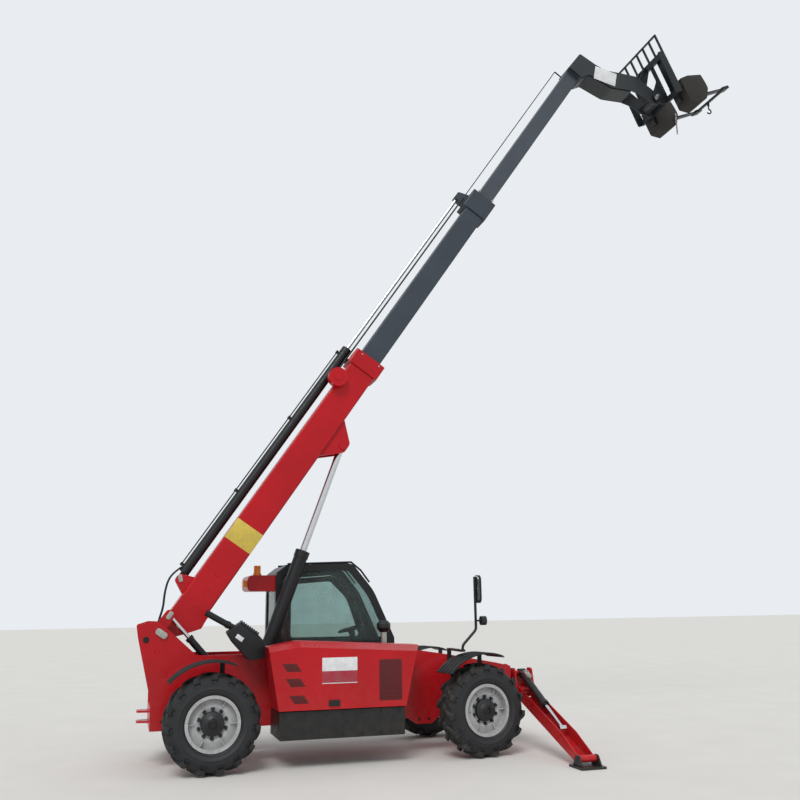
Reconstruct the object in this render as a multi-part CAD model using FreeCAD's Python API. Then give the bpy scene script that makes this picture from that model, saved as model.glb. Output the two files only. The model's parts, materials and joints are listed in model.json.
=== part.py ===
import FreeCAD, Part
import math
import os

# A telehandler with a three-section boom, two steered axles and two front stabilisers.
# Millimetres. X is forward, Y is left, Z is up. The machine is laid out from the rear axle on the
# ground, and main() then moves it so that the origin is under the middle of its box.

V = FreeCAD.Vector
X_AXIS, Y_AXIS, Z_AXIS = V(1, 0, 0), V(0, 1, 0), V(0, 0, 1)
RIGHT, LEFT = -1, 1

# Fits
PIN_FIT = 0.08         # radial play of a pin in its eye and of a rod in its gland
SEAT_GAP = 0.3         # between a piece and what it rests or slides on
RUN_GAP = 6.0          # clearance between pieces that move past each other

# Wheels, steering and axles
WHEELBASE = 3464.0
TRACK = 2000.0
KINGPIN_TRACK = 1520.0
TYRE_DIAMETER = 1170.0
TYRE_WIDTH = 400.0
TYRE_WALL = 34.0
SHOULDER_DROP = 28.0
RIM_DIAMETER = 610.0
RIM_FLANGE = 24.0
RIM_PLATE = 14.0
RIM_WIDTH = 340.0
DISC_INSET = 95.0
HUB_DIAMETER = 280.0
HUB_REACH = 40.0
HUB_CAP_DIAMETER = 120.0
SPINDLE_DIAMETER = 90.0
FRONT_STEER_AT_REST = 8.0
STEER_LIMIT = 30.0
AXLE_TUBE_DIAMETER = 190.0
DIFFERENTIAL_DIAMETER = 370.0
YOKE_HALF_GAP = 130.0
YOKE_PLATE = 40.0
YOKE_RADIUS = 70.0
KINGPIN_DIAMETER = 70.0
KNUCKLE_DIAMETER = 176.0

# Mudguards, carried on the knuckles
GUARD_RADIUS = 705.0
GUARD_THICKNESS = 12.0
GUARD_FROM, GUARD_TO = 68.0, 138.0
GUARD_OVERHANG = 6.0
GUARD_ARM_THICKNESS = 18.0

# Frame
RAIL_OUTSIDE = 450.0
RAIL_PLATE = 30.0
RAIL_BOTTOM = 450.0
RAIL_TOP = 1340.0
TAIL = -704.0
NOSE_PLATE = 4190.0

# Boom
BOOM_PIVOT = (-620.0, 1630.0)
BOOM_ANGLE_AT_REST = 55.7
BOOM_ANGLE_LOW, BOOM_ANGLE_HIGH = 2.5, 68.0
BOOM_PIN_DIAMETER = 100.0
OUTER_TOP, OUTER_BOTTOM = 51.0, -375.0
OUTER_HALF_WIDTH = 180.0
OUTER_WALL = 14.0
OUTER_TAIL, OUTER_FRONT = -170.0, 4840.0
COLLAR_LENGTH = 240.0
COLLAR_PROUD = 42.0
SECTION_TWO_TAIL, SECTION_TWO_FRONT = 3300.0, 8330.0
SECTION_TWO_HEIGHT, SECTION_TWO_HALF_WIDTH = 335.0, 145.0
SECTION_TWO_WALL = 12.0
HEAD_TWO_LENGTH = 350.0
SECTION_THREE_TAIL, SECTION_THREE_FRONT = 6550.0, 11535.0
SECTION_THREE_HEIGHT, SECTION_THREE_HALF_WIDTH = 262.0, 112.0
SECTION_THREE_WALL = 10.0
PAD_LENGTH = 120.0
EXTEND_IN, EXTEND_OUT = -2900.0, 450.0

# Telescope cylinder on top of the outer boom
TELE_HEIGHT = 200.0
TELE_BARREL_DIAMETER = 140.0
TELE_ROD_DIAMETER = 56.0
TELE_PIN = 700.0
TELE_FRONT = 4790.0
TELE_ROD_TAIL = 4200.0

# Lift cylinder, between the rails and the cheeks under the boom
LIFT_PIN = (3500.0, -575.0)
LIFT_LENGTH_AT_REST = 3900.0
LIFT_ANGLE_AT_REST = 70.0
LIFT_BARREL_DIAMETER = 190.0
LIFT_ROD_DIAMETER = 100.0
LIFT_BARREL_LENGTH = 2300.0
LIFT_EYE_RADIUS = 55.0
LIFT_EYE_WIDTH = 200.0
LIFT_FOOT_RADIUS = 80.0
LIFT_FOOT_PIN = 80.0
CHEEK_GAP = 220.0
CHEEK_PLATE = 26.0

# Compensation cylinder, between the boom and the right rail
COMP_Y = -300.0
COMP_PIN = (240.0, 40.0)
COMP_FOOT = (150.0, 1100.0)
COMP_BARREL_DIAMETER = 90.0
COMP_ROD_DIAMETER = 50.0
COMP_BARREL_LENGTH = 620.0
COMP_EYE_RADIUS = 42.0
COMP_EYE_WIDTH = 80.0

# Boom head, carriage and tilt cylinder
HEAD_HALF_WIDTH = 200.0
HEAD_PLATE = 22.0
TILT_PIVOT = (12222.0, -1627.0)
TILT_FOOT = (11655.0, -244.0)
TILT_PIN_DIAMETER = 80.0
CARRIAGE_ANGLE_AT_REST = 24.0
TILT_BACK, TILT_DOWN = 40.0, -90.0
TILT_LEVER = (-17.0, 380.0)
TILT_BARREL_DIAMETER = 110.0
TILT_ROD_DIAMETER = 56.0
TILT_BARREL_LENGTH = 950.0
TILT_EYE_RADIUS = 50.0
TILT_EYE_WIDTH = 100.0
TILT_LUG_GAP = 126.0
CARRIAGE_HALF_WIDTH = 610.0
CARRIAGE_BOTTOM, CARRIAGE_TOP, BACKREST_TOP = -150.0, 660.0, 990.0
CARRIAGE_BACK = 170.0
CARRIAGE_DEPTH = 70.0
BACKREST_BARS = 7
FORK_SPREAD = 800.0
FORK_WIDTH = 120.0
FORK_THICKNESS = 50.0
FORK_LENGTH = 1130.0
FORK_DROP = 80.0
FORK_TIP_THICKNESS = 12.0

# Stabilisers
LEG_X = 4370.0
LEG_PIVOT = (450.0, 750.0)
LEG_FOOT = (2200.0, 100.0)
LEG_FOLD = 88.0
LEG_HALF_WIDTH = 110.0
LEG_HEIGHT = 160.0
LEG_PLATE = 12.0
LEG_PIN_RADIUS = 25.0
RAM_FOOT = (425.0, 985.0)
RAM_PIN_ALONG, RAM_PIN_ABOVE = 1200.0, 45.0
RAM_BARREL_DIAMETER = 100.0
RAM_ROD_DIAMETER = 50.0
RAM_BARREL_LENGTH = 800.0
RAM_EYE_RADIUS = 36.0
FOOT_SIDE = 340.0
FOOT_PLATE = 24.0

# Engine side
HOOD_OUTSIDE, HOOD_SHOULDER, HOOD_INSIDE = -1150.0, -950.0, -620.0
HOOD_SHEET = 20.0
HOOD_BOTTOM = 690.0
HOOD_HINGE = (-590.0, 1380.0)
HOOD_OPEN = 60.0

# Cab
CAB_INSIDE, CAB_STEP, CAB_OUTSIDE = 250.0, 456.0, 1170.0
CAB_WALL = 40.0
CAB_SILL = 1360.0
GLASS = 8.0
DOOR_GAP = 6.0
DOOR_HINGE = (1238.0, 1190.0)
DOOR_OPEN = 90.0
ROOF_BOX_TOP = 2370.0


def block(x, y, z):
    """A box from three (low, high) pairs."""
    return Part.makeBox(x[1] - x[0], y[1] - y[0], z[1] - z[0], V(x[0], y[0], z[0]))


def bar(start, end, radius):
    """A round bar between two points."""
    return Part.makeCylinder(radius, (end - start).Length, start, end - start)


def fused(shapes):
    """One solid of several that touch or overlap."""
    whole = shapes[0]
    if len(shapes) > 1:
        whole = whole.multiFuse(shapes[1:])
    return whole.removeSplitter()


def face(points, place, radius=0.0):
    """A flat face inside straight runs. A corner is (a, b) or (a, b, its own radius)."""
    corners = [place(point[0], point[1]) for point in points]
    edges, arcs = [], []
    for index, point in enumerate(points):
        corner = corners[index]
        back = (corners[index - 1] - corner).normalize()
        ahead = (corners[(index + 1) % len(points)] - corner).normalize()
        size = point[2] if len(point) > 2 else radius
        if size <= 0:
            arcs.append((corner, None, corner))
            continue
        half = back.getAngle(ahead) / 2
        reach = size / math.tan(half)
        middle = (back + ahead).normalize()
        crown = corner + middle * (size / math.sin(half) - size)
        arcs.append((corner + back * reach, crown, corner + ahead * reach))
    for index, (start, crown, end) in enumerate(arcs):
        if crown is not None:
            edges.append(Part.Arc(start, crown, end).toShape())
        following = arcs[(index + 1) % len(arcs)][0]
        if (following - end).Length > 1e-6:
            edges.append(Part.LineSegment(end, following).toShape())
    return Part.Face(Part.Wire(edges))


def plate_xz(points, low, high, radius=0.0):
    """A plate whose outline is in X and Z, from y = low to y = high."""
    return face(points, lambda a, b: V(a, low, b), radius).extrude(V(0, high - low, 0))


def plate_yz(points, low, high, radius=0.0):
    """A plate whose outline is in Y and Z, from x = low to x = high."""
    return face(points, lambda a, b: V(low, a, b), radius).extrude(V(high - low, 0, 0))


def plate_xy(points, low, high, radius=0.0):
    """A plate whose outline is in X and Y, from z = low to z = high."""
    return face(points, lambda a, b: V(a, b, low), radius).extrude(V(0, 0, high - low))


def pin_y(x, z, radius, low, high):
    return Part.makeCylinder(radius, high - low, V(x, low, z), Y_AXIS)


def pin_x(y, z, radius, low, high):
    return Part.makeCylinder(radius, high - low, V(low, y, z), X_AXIS)


def pin_z(x, y, radius, low, high):
    return Part.makeCylinder(radius, high - low, V(x, y, low), Z_AXIS)


def pipe(points, radius, bend):
    """A round pipe through the points, with a bend of the given radius at each inner one."""
    ends = []
    for index, corner in enumerate(points[1:-1], 1):
        back = (points[index - 1] - corner).normalize()
        ahead = (points[index + 1] - corner).normalize()
        half = back.getAngle(ahead) / 2
        reach = bend / math.tan(half)
        crown = corner + (back + ahead).normalize() * (bend / math.sin(half) - bend)
        ends.append((corner + back * reach, crown, corner + ahead * reach))
    edges = []
    start = points[0]
    for enter, crown, leave in ends:
        edges.append(Part.LineSegment(start, enter).toShape())
        edges.append(Part.Arc(enter, crown, leave).toShape())
        start = leave
    edges.append(Part.LineSegment(start, points[-1]).toShape())
    mouth = Part.Wire(Part.makeCircle(radius, points[0], points[1] - points[0]))
    return Part.Wire(edges).makePipeShell([mouth], True, True)


def mirrored(shape):
    """The same piece on the other side of the machine."""
    return shape.mirror(V(0, 0, 0), Y_AXIS)


def rectangle(low, high):
    return [(low[0], low[1]), (high[0], low[1]), (high[0], high[1]), (low[0], high[1])]


# Frames of reference

def boom_point(u, v):
    """A point of the boom at rest: u along it from its pivot, v square to it."""
    angle = math.radians(BOOM_ANGLE_AT_REST)
    return V(BOOM_PIVOT[0] + u * math.cos(angle) - v * math.sin(angle), 0,
             BOOM_PIVOT[1] + u * math.sin(angle) + v * math.cos(angle))


def on_boom(shape):
    """Moves a shape from the boom's own frame to its place at rest."""
    turn = FreeCAD.Rotation(Y_AXIS, -BOOM_ANGLE_AT_REST)
    return shape.transformGeometry(
        FreeCAD.Placement(V(BOOM_PIVOT[0], 0, BOOM_PIVOT[1]), turn).toMatrix())


def on_carriage(shape):
    """Moves a shape from the carriage's frame, whose origin is the tilt pivot, to its place."""
    turn = FreeCAD.Rotation(Y_AXIS, -CARRIAGE_ANGLE_AT_REST)
    return moved(shape, FreeCAD.Placement(boom_point(*TILT_PIVOT), turn))


def moved(shape, placement):
    copy = shape.copy()
    copy.Placement = placement.multiply(copy.Placement)
    return copy


def on_boom_frame(shape):
    turn = FreeCAD.Rotation(Y_AXIS, -BOOM_ANGLE_AT_REST)
    return moved(shape, FreeCAD.Placement(V(BOOM_PIVOT[0], 0, BOOM_PIVOT[1]), turn))


def between(shape, start, end):
    """Moves a shape that lies along X from the origin so that it runs from start towards end."""
    turn = FreeCAD.Rotation(X_AXIS, end - start)
    return moved(shape, FreeCAD.Placement(start, turn))


# Wheels

def hub_point(axle_x, side):
    return V(axle_x, side * TRACK / 2, TYRE_DIAMETER / 2)


def turned_ring(points, radius=0.0):
    """A body turned about Y from an outline of (y, radius) corners."""
    return face(points, lambda a, b: V(b, a, 0), radius).revolve(V(0, 0, 0), Y_AXIS, 360)


def tyre():
    """A tyre about Y at the origin, open at the rim."""
    half = TYRE_WIDTH / 2
    crown = TYRE_DIAMETER / 2
    bead = RIM_DIAMETER / 2 + SEAT_GAP
    flange = bead + RIM_FLANGE
    lip = RIM_WIDTH / 2 - RIM_PLATE - SEAT_GAP
    shoulder = crown - SHOULDER_DROP
    middle = (bead + shoulder) / 2
    outside = [(-lip, bead), (-lip, flange), (-half, middle, 90.0), (-half + 18, shoulder, 26.0),
               (-half + 60, crown, 40.0), (half - 60, crown, 40.0), (half - 18, shoulder, 26.0),
               (half, middle, 90.0), (lip, flange), (lip, bead)]
    inside = [(lip - TYRE_WALL, bead), (half - TYRE_WALL, middle, 70.0),
              (half - TYRE_WALL - 10, shoulder - TYRE_WALL, 40.0),
              (-half + TYRE_WALL + 10, shoulder - TYRE_WALL, 40.0),
              (-half + TYRE_WALL, middle, 70.0), (-lip + TYRE_WALL, bead)]
    return turned_ring(outside + inside)


def rim():
    """A wheel rim with its hub about Y at the origin. Its outer face is towards -Y."""
    seat = RIM_DIAMETER / 2
    half = RIM_WIDTH / 2
    barrel = turned_ring([(-half, seat + RIM_FLANGE), (-half, seat - RIM_PLATE),
                          (half, seat - RIM_PLATE), (half, seat + RIM_FLANGE),
                          (half - RIM_PLATE, seat + RIM_FLANGE), (half - RIM_PLATE, seat),
                          (-half + RIM_PLATE, seat), (-half + RIM_PLATE, seat + RIM_FLANGE)])
    disc_y = -half + DISC_INSET
    hub = HUB_DIAMETER / 2
    disc = turned_ring([(disc_y, hub - 20), (disc_y - 30, hub + 60, 20.0), (disc_y, seat - RIM_PLATE),
                        (disc_y + RIM_PLATE, seat - RIM_PLATE), (disc_y - 30 + RIM_PLATE, hub + 60, 20.0),
                        (disc_y + RIM_PLATE, hub - 20)])
    bore = SPINDLE_DIAMETER / 2 + PIN_FIT
    cap = HUB_CAP_DIAMETER / 2
    outer = -half - HUB_REACH + 20
    hub_body = turned_ring([(100.0, bore), (100.0, hub), (disc_y - 60, hub, 12.0),
                            (disc_y - 75, hub - 40, 12.0), (outer + 20, cap + 8), (outer + 20, cap),
                            (outer, cap - 12, 8.0), (outer, bore)])
    return fused([barrel, disc, hub_body])


def wheel_place(axle_x, side):
    """Where a wheel made about the origin goes, with the front pair steered as they stand."""
    kingpin = V(axle_x, side * KINGPIN_TRACK / 2, 0)
    steer = FRONT_STEER_AT_REST if axle_x > 0 else 0.0
    about = FreeCAD.Placement(V(0, 0, 0), FreeCAD.Rotation(Z_AXIS, steer), kingpin)
    side_turn = FreeCAD.Rotation(Z_AXIS, 180 if side == LEFT else 0)
    return about.multiply(FreeCAD.Placement(hub_point(axle_x, side), side_turn))


def knuckle():
    """A right rear knuckle with its mudguard, placed about its wheel's centre."""
    kingpin_y = (TRACK - KINGPIN_TRACK) / 2
    boss_top = YOKE_HALF_GAP - RUN_GAP
    ear = YOKE_HALF_GAP + YOKE_PLATE
    boss = pin_z(0, kingpin_y, KNUCKLE_DIAMETER / 2, -boss_top, boss_top)
    kingpin = pin_z(0, kingpin_y, KINGPIN_DIAMETER / 2, -ear, ear)
    neck = pin_y(0, 0, HUB_DIAMETER / 2 - 30, 100.0 + RUN_GAP, kingpin_y)
    spindle = pin_y(0, 0, SPINDLE_DIAMETER / 2, -RIM_WIDTH / 2, kingpin_y)
    guard_inner = TYRE_WIDTH / 2 + 2 * RUN_GAP
    arm_y = (guard_inner, guard_inner + GUARD_ARM_THICKNESS)
    arm = plate_xz([(0, -70), (95, -70, 30), (160, 60, 60), (160, GUARD_RADIUS - 14),
                    (100, GUARD_RADIUS - 6), (100, 100, 30), (60, 70, 20), (0, 70)], *arm_y)
    guard_y = (-TYRE_WIDTH / 2 - GUARD_OVERHANG, arm_y[1])
    outer, inner = GUARD_RADIUS + GUARD_THICKNESS, GUARD_RADIUS
    sweep = GUARD_TO - GUARD_FROM
    band = face(rectangle((guard_y[0], inner), (guard_y[1], outer)), lambda a, b: V(b, a, 0))
    guard = band.revolve(V(0, 0, 0), Y_AXIS, -sweep)
    guard.rotate(V(0, 0, 0), Y_AXIS, -GUARD_FROM)
    return fused([boss, kingpin, neck, spindle, arm, guard])


def axle(axle_x):
    """An axle beam with its differential and a yoke at each end for the kingpins."""
    height = TYRE_DIAMETER / 2
    reach = KINGPIN_TRACK / 2
    yoke_root = reach - YOKE_RADIUS - 70.0
    centre = V(axle_x, 0, height)
    pieces = [Part.makeSphere(DIFFERENTIAL_DIAMETER / 2, centre),
              pin_y(axle_x, height, AXLE_TUBE_DIAMETER / 2, -yoke_root, yoke_root)]
    ear_high = YOKE_HALF_GAP + YOKE_PLATE
    for side in (RIGHT, LEFT):
        web = sorted((side * (yoke_root - 40), side * yoke_root))
        pieces.append(block((axle_x - YOKE_RADIUS, axle_x + YOKE_RADIUS), web,
                            (height - ear_high, height + ear_high)))
        for low in (-ear_high, YOKE_HALF_GAP):
            ear = [(axle_x - YOKE_RADIUS, side * (yoke_root - 20)),
                   (axle_x - YOKE_RADIUS, side * (reach + YOKE_RADIUS), YOKE_RADIUS - 1),
                   (axle_x + YOKE_RADIUS, side * (reach + YOKE_RADIUS), YOKE_RADIUS - 1),
                   (axle_x + YOKE_RADIUS, side * (yoke_root - 20))]
            pieces.append(plate_xy(ear, height + low, height + low + YOKE_PLATE))
    beam = fused(pieces)
    for side in (RIGHT, LEFT):
        hole = pin_z(axle_x, side * reach, KINGPIN_DIAMETER / 2 + PIN_FIT,
                     height - ear_high - 1, height + ear_high + 1)
        beam = beam.cut(hole)
    return beam


# Frame

RAIL_OUTLINE = [
    # x, z, corner radius
    (TAIL, RAIL_BOTTOM), (-713, 861), (-881, 1550), (-909, 1722, 30), (-759, 1768, 40),
    (-630, 1762, 90), (-166, RAIL_TOP + 6, 40), (0, RAIL_TOP), (2750, RAIL_TOP, 200),
    (3260, 1260, 200), (3970, 1130), (NOSE_PLATE, 1080), (NOSE_PLATE, 600), (3950, RAIL_BOTTOM),
    (3100, RAIL_BOTTOM), (3000, 370), (2780, 370), (2650, RAIL_BOTTOM)]


def lift_foot():
    """The lift cylinder's lower pin."""
    angle = math.radians(LIFT_ANGLE_AT_REST)
    pin = boom_point(*LIFT_PIN)
    return pin - V(math.cos(angle), 0, math.sin(angle)) * LIFT_LENGTH_AT_REST


def axle_notch(axle_x):
    """The open slot in the rails that the axle beam sits in."""
    radius = AXLE_TUBE_DIAMETER / 2
    height = TYRE_DIAMETER / 2
    width = 2 * RAIL_OUTSIDE
    low = block((axle_x - radius, axle_x + radius), (-width, width), (0, height))
    return fused([pin_y(axle_x, height, radius, -width, width), low])


def frame():
    inner = RAIL_OUTSIDE - RAIL_PLATE
    across = (-inner, inner)
    pieces = []
    for side in (RIGHT, LEFT):
        faces = sorted((side * inner, side * RAIL_OUTSIDE))
        pieces.append(plate_xz(RAIL_OUTLINE, *faces))
    foot = lift_foot()
    pieces += [
        block((TAIL, TAIL + 260), across, (RAIL_BOTTOM, 720)),
        block((TAIL + 40, TAIL + 60), across, (700, 1415)),
        block((foot.x - 220, foot.x - 180), across, (RAIL_BOTTOM, 800)),
        block((900, 2600), across, (RAIL_BOTTOM, RAIL_BOTTOM + 20)),
        block((2700, 2740), across, (RAIL_BOTTOM, 900)),
        block((4100, NOSE_PLATE), across, (600, 1000)),
        boom_pin(), ]
    pieces += lift_lugs(foot) + stabiliser_brackets() + hitch() + comp_anchor() + hood_brackets()
    body = fused(pieces)
    for axle_x in (0.0, WHEELBASE):
        body = body.cut(axle_notch(axle_x))
    return body


def boom_pin():
    """The boom's pivot pin with its two spacer collars."""
    x, z = BOOM_PIVOT
    radius = BOOM_PIN_DIAMETER / 2
    inner = RAIL_OUTSIDE - RAIL_PLATE
    heel = OUTER_HALF_WIDTH + RUN_GAP
    pieces = [pin_y(x, z, radius, -RAIL_OUTSIDE - 12, RAIL_OUTSIDE + 12)]
    for side in (RIGHT, LEFT):
        pieces.append(pin_y(x, z, radius + 25, *sorted((side * heel, side * inner))))
    return fused(pieces)


def lift_lugs(foot):
    """Two ears and the pin that carry the lift cylinder's foot."""
    half = LIFT_EYE_WIDTH / 2 + RUN_GAP
    outline = [(foot.x - 190, RAIL_BOTTOM), (foot.x - 190, 780, 40), (foot.x - 60, 640, 60),
               (foot.x + 90, foot.z + 90, 80), (foot.x + 90, RAIL_BOTTOM, 60)]
    ears = [plate_xz(outline, *sorted((side * half, side * (half + 30)))) for side in (RIGHT, LEFT)]
    pin = pin_y(foot.x, foot.z, LIFT_FOOT_PIN / 2, -half - 30, half + 30)
    return ears + [pin]


def stabiliser_brackets():
    """The nose box and the four ears that carry the legs and their cylinders."""
    y, z = LEG_PIVOT
    ear = 24.0
    inner = LEG_HALF_WIDTH + RUN_GAP
    low_x, high_x = LEG_X - inner - ear, LEG_X + inner + ear
    pieces = [block((NOSE_PLATE, high_x), (-350, 350), (640, 960))]
    for side in (RIGHT, LEFT):
        outline = [(side * 300, 640), (side * (y - 20), z - 90, 40), (side * (y + 80), z - 60, 60),
                   (side * (y + 80), z + 60, 60), (side * (RAM_FOOT[0] + 55), RAM_FOOT[1] + 60, 50),
                   (side * (RAM_FOOT[0] - 60), RAM_FOOT[1] + 60, 40), (side * 300, 960)]
        for start in (low_x, high_x - ear):
            pieces.append(plate_yz(outline, start, start + ear))
        pieces.append(pin_x(side * y, z, LEG_PIN_RADIUS, low_x, high_x))
        pieces.append(pin_x(side * RAM_FOOT[0], RAM_FOOT[1], LEG_PIN_RADIUS, low_x, high_x))
    return pieces


HITCH_HOLE = (-800.0, 21.0)
HITCH_PLATES = ((515.0, 540.0), (640.0, 665.0))


def hitch():
    """Two flat plates at the tail with a hole through both for a drawbar pin."""
    x, radius = HITCH_HOLE
    plates = []
    for low, high in HITCH_PLATES:
        outline = [(TAIL + 10, -120), (x - 60, -80, 60), (x - 60, 80, 60), (TAIL + 10, 120)]
        plates.append(plate_xy(outline, low, high).cut(pin_z(x, 0, radius, low - 1, high + 1)))
    return plates


def comp_anchor():
    """The pin on the right rail that the compensation cylinder's foot turns on."""
    x, z = COMP_FOOT
    return [pin_y(x, z, 25.0, -RAIL_OUTSIDE + 5, COMP_Y + COMP_EYE_WIDTH / 2 + 8),
            pin_y(x, z, 45.0, -RAIL_OUTSIDE + 5, COMP_Y - COMP_EYE_WIDTH / 2 - RUN_GAP)]


HOOD_HINGES = (1150.0, 2150.0)
HINGE_PIN = 10.0


def hood_brackets():
    """Two brackets on the right rail with the hood's hinge pins."""
    y, z = HOOD_HINGE
    pieces = []
    for x in HOOD_HINGES:
        outline = [(-RAIL_OUTSIDE + 5, RAIL_TOP - 80), (-RAIL_OUTSIDE + 5, RAIL_TOP - 10),
                   (y, z + 20), (y, z - 20)]
        pieces.append(plate_yz(outline, x - 20, x + 20))
        pieces.append(pin_x(y, z, 22.0, x - 20, x + 20))
        pieces.append(pin_x(y, z, HINGE_PIN, x - 55, x + 55))
    return pieces


# Boom sections

def box_tube(u, half_width, v, wall, radius):
    """A hollow box section along u."""
    outside = plate_yz(rectangle((-half_width, v[0]), (half_width, v[1])), u[0], u[1], radius)
    hole = plate_yz(rectangle((-half_width + wall, v[0] + wall), (half_width - wall, v[1] - wall)),
                    u[0] - 1, u[1] + 1, max(radius - wall, 4.0))
    return outside.cut(hole)


BOOM_MIDDLE = (OUTER_TOP + OUTER_BOTTOM) / 2


def wear_pads(u, outer_half_width, outer_half_height, wall, inner_half_width, inner_half_height):
    """Pads inside the front of a section, a running fit from the next section's four sides."""
    pads = []
    for side in (-1, 1):
        near, far = inner_half_width + SEAT_GAP, outer_half_width - wall + 1
        pads.append(block(u, sorted((side * near, side * far)), (BOOM_MIDDLE - 60, BOOM_MIDDLE + 60)))
        near, far = inner_half_height + SEAT_GAP, outer_half_height - wall + 1
        v = sorted((BOOM_MIDDLE + side * near, BOOM_MIDDLE + side * far))
        pads.append(block(u, (-60, 60), v))
    return pads


def outer_boom():
    v = (OUTER_BOTTOM, OUTER_TOP)
    half_height = (OUTER_TOP - OUTER_BOTTOM) / 2
    collar_u = (OUTER_FRONT - COLLAR_LENGTH, OUTER_FRONT)
    tube = box_tube((500.0, OUTER_FRONT), OUTER_HALF_WIDTH, v, OUTER_WALL, 24.0)
    heel_outline = [(OUTER_TAIL, 51, 90), (520, 51), (520, -401), (452, -401, 30), (325, -413, 30),
                    (166, -287, 60), (0, -140, 60), (OUTER_TAIL + 10, -120, 90)]
    heel = plate_xz(heel_outline, -OUTER_HALF_WIDTH, OUTER_HALF_WIDTH)
    room = OUTER_HALF_WIDTH - OUTER_WALL
    heel = heel.cut(block((360, 521), (-room, room), (v[0] + OUTER_WALL, v[1] - OUTER_WALL)))
    collar = box_tube(collar_u, OUTER_HALF_WIDTH + 22, (OUTER_BOTTOM - COLLAR_PROUD, OUTER_TOP + COLLAR_PROUD),
                      COLLAR_PROUD, 30.0)
    pads = wear_pads((OUTER_FRONT - PAD_LENGTH, OUTER_FRONT), OUTER_HALF_WIDTH, half_height, OUTER_WALL,
                     SECTION_TWO_HALF_WIDTH, SECTION_TWO_HEIGHT / 2)
    pieces = [heel, tube, collar] + pads + lift_cheeks() + tele_lug() + comp_cheek() + [hose_drum()]
    body = fused(pieces)
    bore = pin_y(0, 0, BOOM_PIN_DIAMETER / 2 + PIN_FIT, -OUTER_HALF_WIDTH - 1, OUTER_HALF_WIDTH + 1)
    return on_boom_frame(body.cut(bore))


def lift_cheeks():
    """Two plates under the boom, on either side of the lift cylinder's eye."""
    u, v = LIFT_PIN
    outline = [(u - 330, OUTER_BOTTOM + 2), (u - 70, v - 70, 70), (u + 80, v - 70, 70),
               (u + 330, OUTER_BOTTOM + 2)]
    cheeks = []
    for side in (RIGHT, LEFT):
        near = CHEEK_GAP / 2
        cheeks.append(plate_xz(outline, *sorted((side * near, side * (near + CHEEK_PLATE)))))
        cap = (near + CHEEK_PLATE - 1, near + CHEEK_PLATE + 16)
        cheeks.append(pin_y(u, v, 58.0, *sorted((side * cap[0], side * cap[1]))))
    return cheeks


def tele_lug():
    """Two ears and a pin on the boom's back for the telescope cylinder's foot."""
    outline = [(TELE_PIN - 150, OUTER_TOP - 4), (TELE_PIN - 50, TELE_HEIGHT + 45, 45),
               (TELE_PIN + 50, TELE_HEIGHT + 45, 45), (TELE_PIN + 120, OUTER_TOP - 4)]
    ears = [plate_xz(outline, *sorted((side * 50, side * 74))) for side in (RIGHT, LEFT)]
    return ears + [pin_y(TELE_PIN, TELE_HEIGHT, 28.0, -80, 80)]


def comp_cheek():
    """The bracket on the boom's right side around the compensation cylinder's eye."""
    u, v = COMP_PIN
    outer = COMP_Y - COMP_EYE_WIDTH / 2 - RUN_GAP
    cheek = plate_xz([(u - 150, v - 80, 30), (u - 150, v + 70, 30), (u + 60, v + 60, 50),
                      (u + 60, v - 60, 50)], outer - 20, outer)
    web = block((u - 150, u - 90), (outer - 10, -OUTER_HALF_WIDTH + 2), (v - 60, v + 10))
    return [cheek, web]


def hose_drum():
    """The red hose reel on the boom's right side."""
    return pin_y(4260.0, 76.0, 140.0, -OUTER_HALF_WIDTH - 115, -OUTER_HALF_WIDTH + 2).fuse(
        pin_y(4260.0, 76.0, 60.0, -OUTER_HALF_WIDTH - 125, -OUTER_HALF_WIDTH))


def tele_barrel():
    """The telescope cylinder's barrel, with its foot eye and front gland."""
    radius = TELE_BARREL_DIAMETER / 2
    start = TELE_PIN + 90
    barrel = bar(V(start, 0, TELE_HEIGHT), V(TELE_FRONT, 0, TELE_HEIGHT), radius)
    gland = bar(V(TELE_FRONT - 90, 0, TELE_HEIGHT), V(TELE_FRONT, 0, TELE_HEIGHT), radius + 7)
    eye = pin_y(TELE_PIN, TELE_HEIGHT, 48.0, -44, 44)
    neck = block((TELE_PIN, start + 10), (-40, 40), (TELE_HEIGHT - 38, TELE_HEIGHT + 38))
    saddle = block((OUTER_FRONT - COLLAR_LENGTH, OUTER_FRONT - COLLAR_LENGTH + 60), (-50, 50),
                   (OUTER_TOP + COLLAR_PROUD, TELE_HEIGHT))
    body = fused([barrel, gland, eye, neck, saddle])
    body = body.cut(bar(V(start + 60, 0, TELE_HEIGHT), V(TELE_FRONT + 1, 0, TELE_HEIGHT),
                        TELE_ROD_DIAMETER / 2 + PIN_FIT))
    body = body.cut(pin_y(TELE_PIN, TELE_HEIGHT, 28.0, -60, 60))
    return on_boom_frame(body)


def tele_rod():
    """The chrome rod, fixed in section two's head."""
    end = SECTION_TWO_FRONT - HEAD_TWO_LENGTH + 100
    return on_boom_frame(bar(V(TELE_ROD_TAIL, 0, TELE_HEIGHT), V(end, 0, TELE_HEIGHT),
                             TELE_ROD_DIAMETER / 2))


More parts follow.
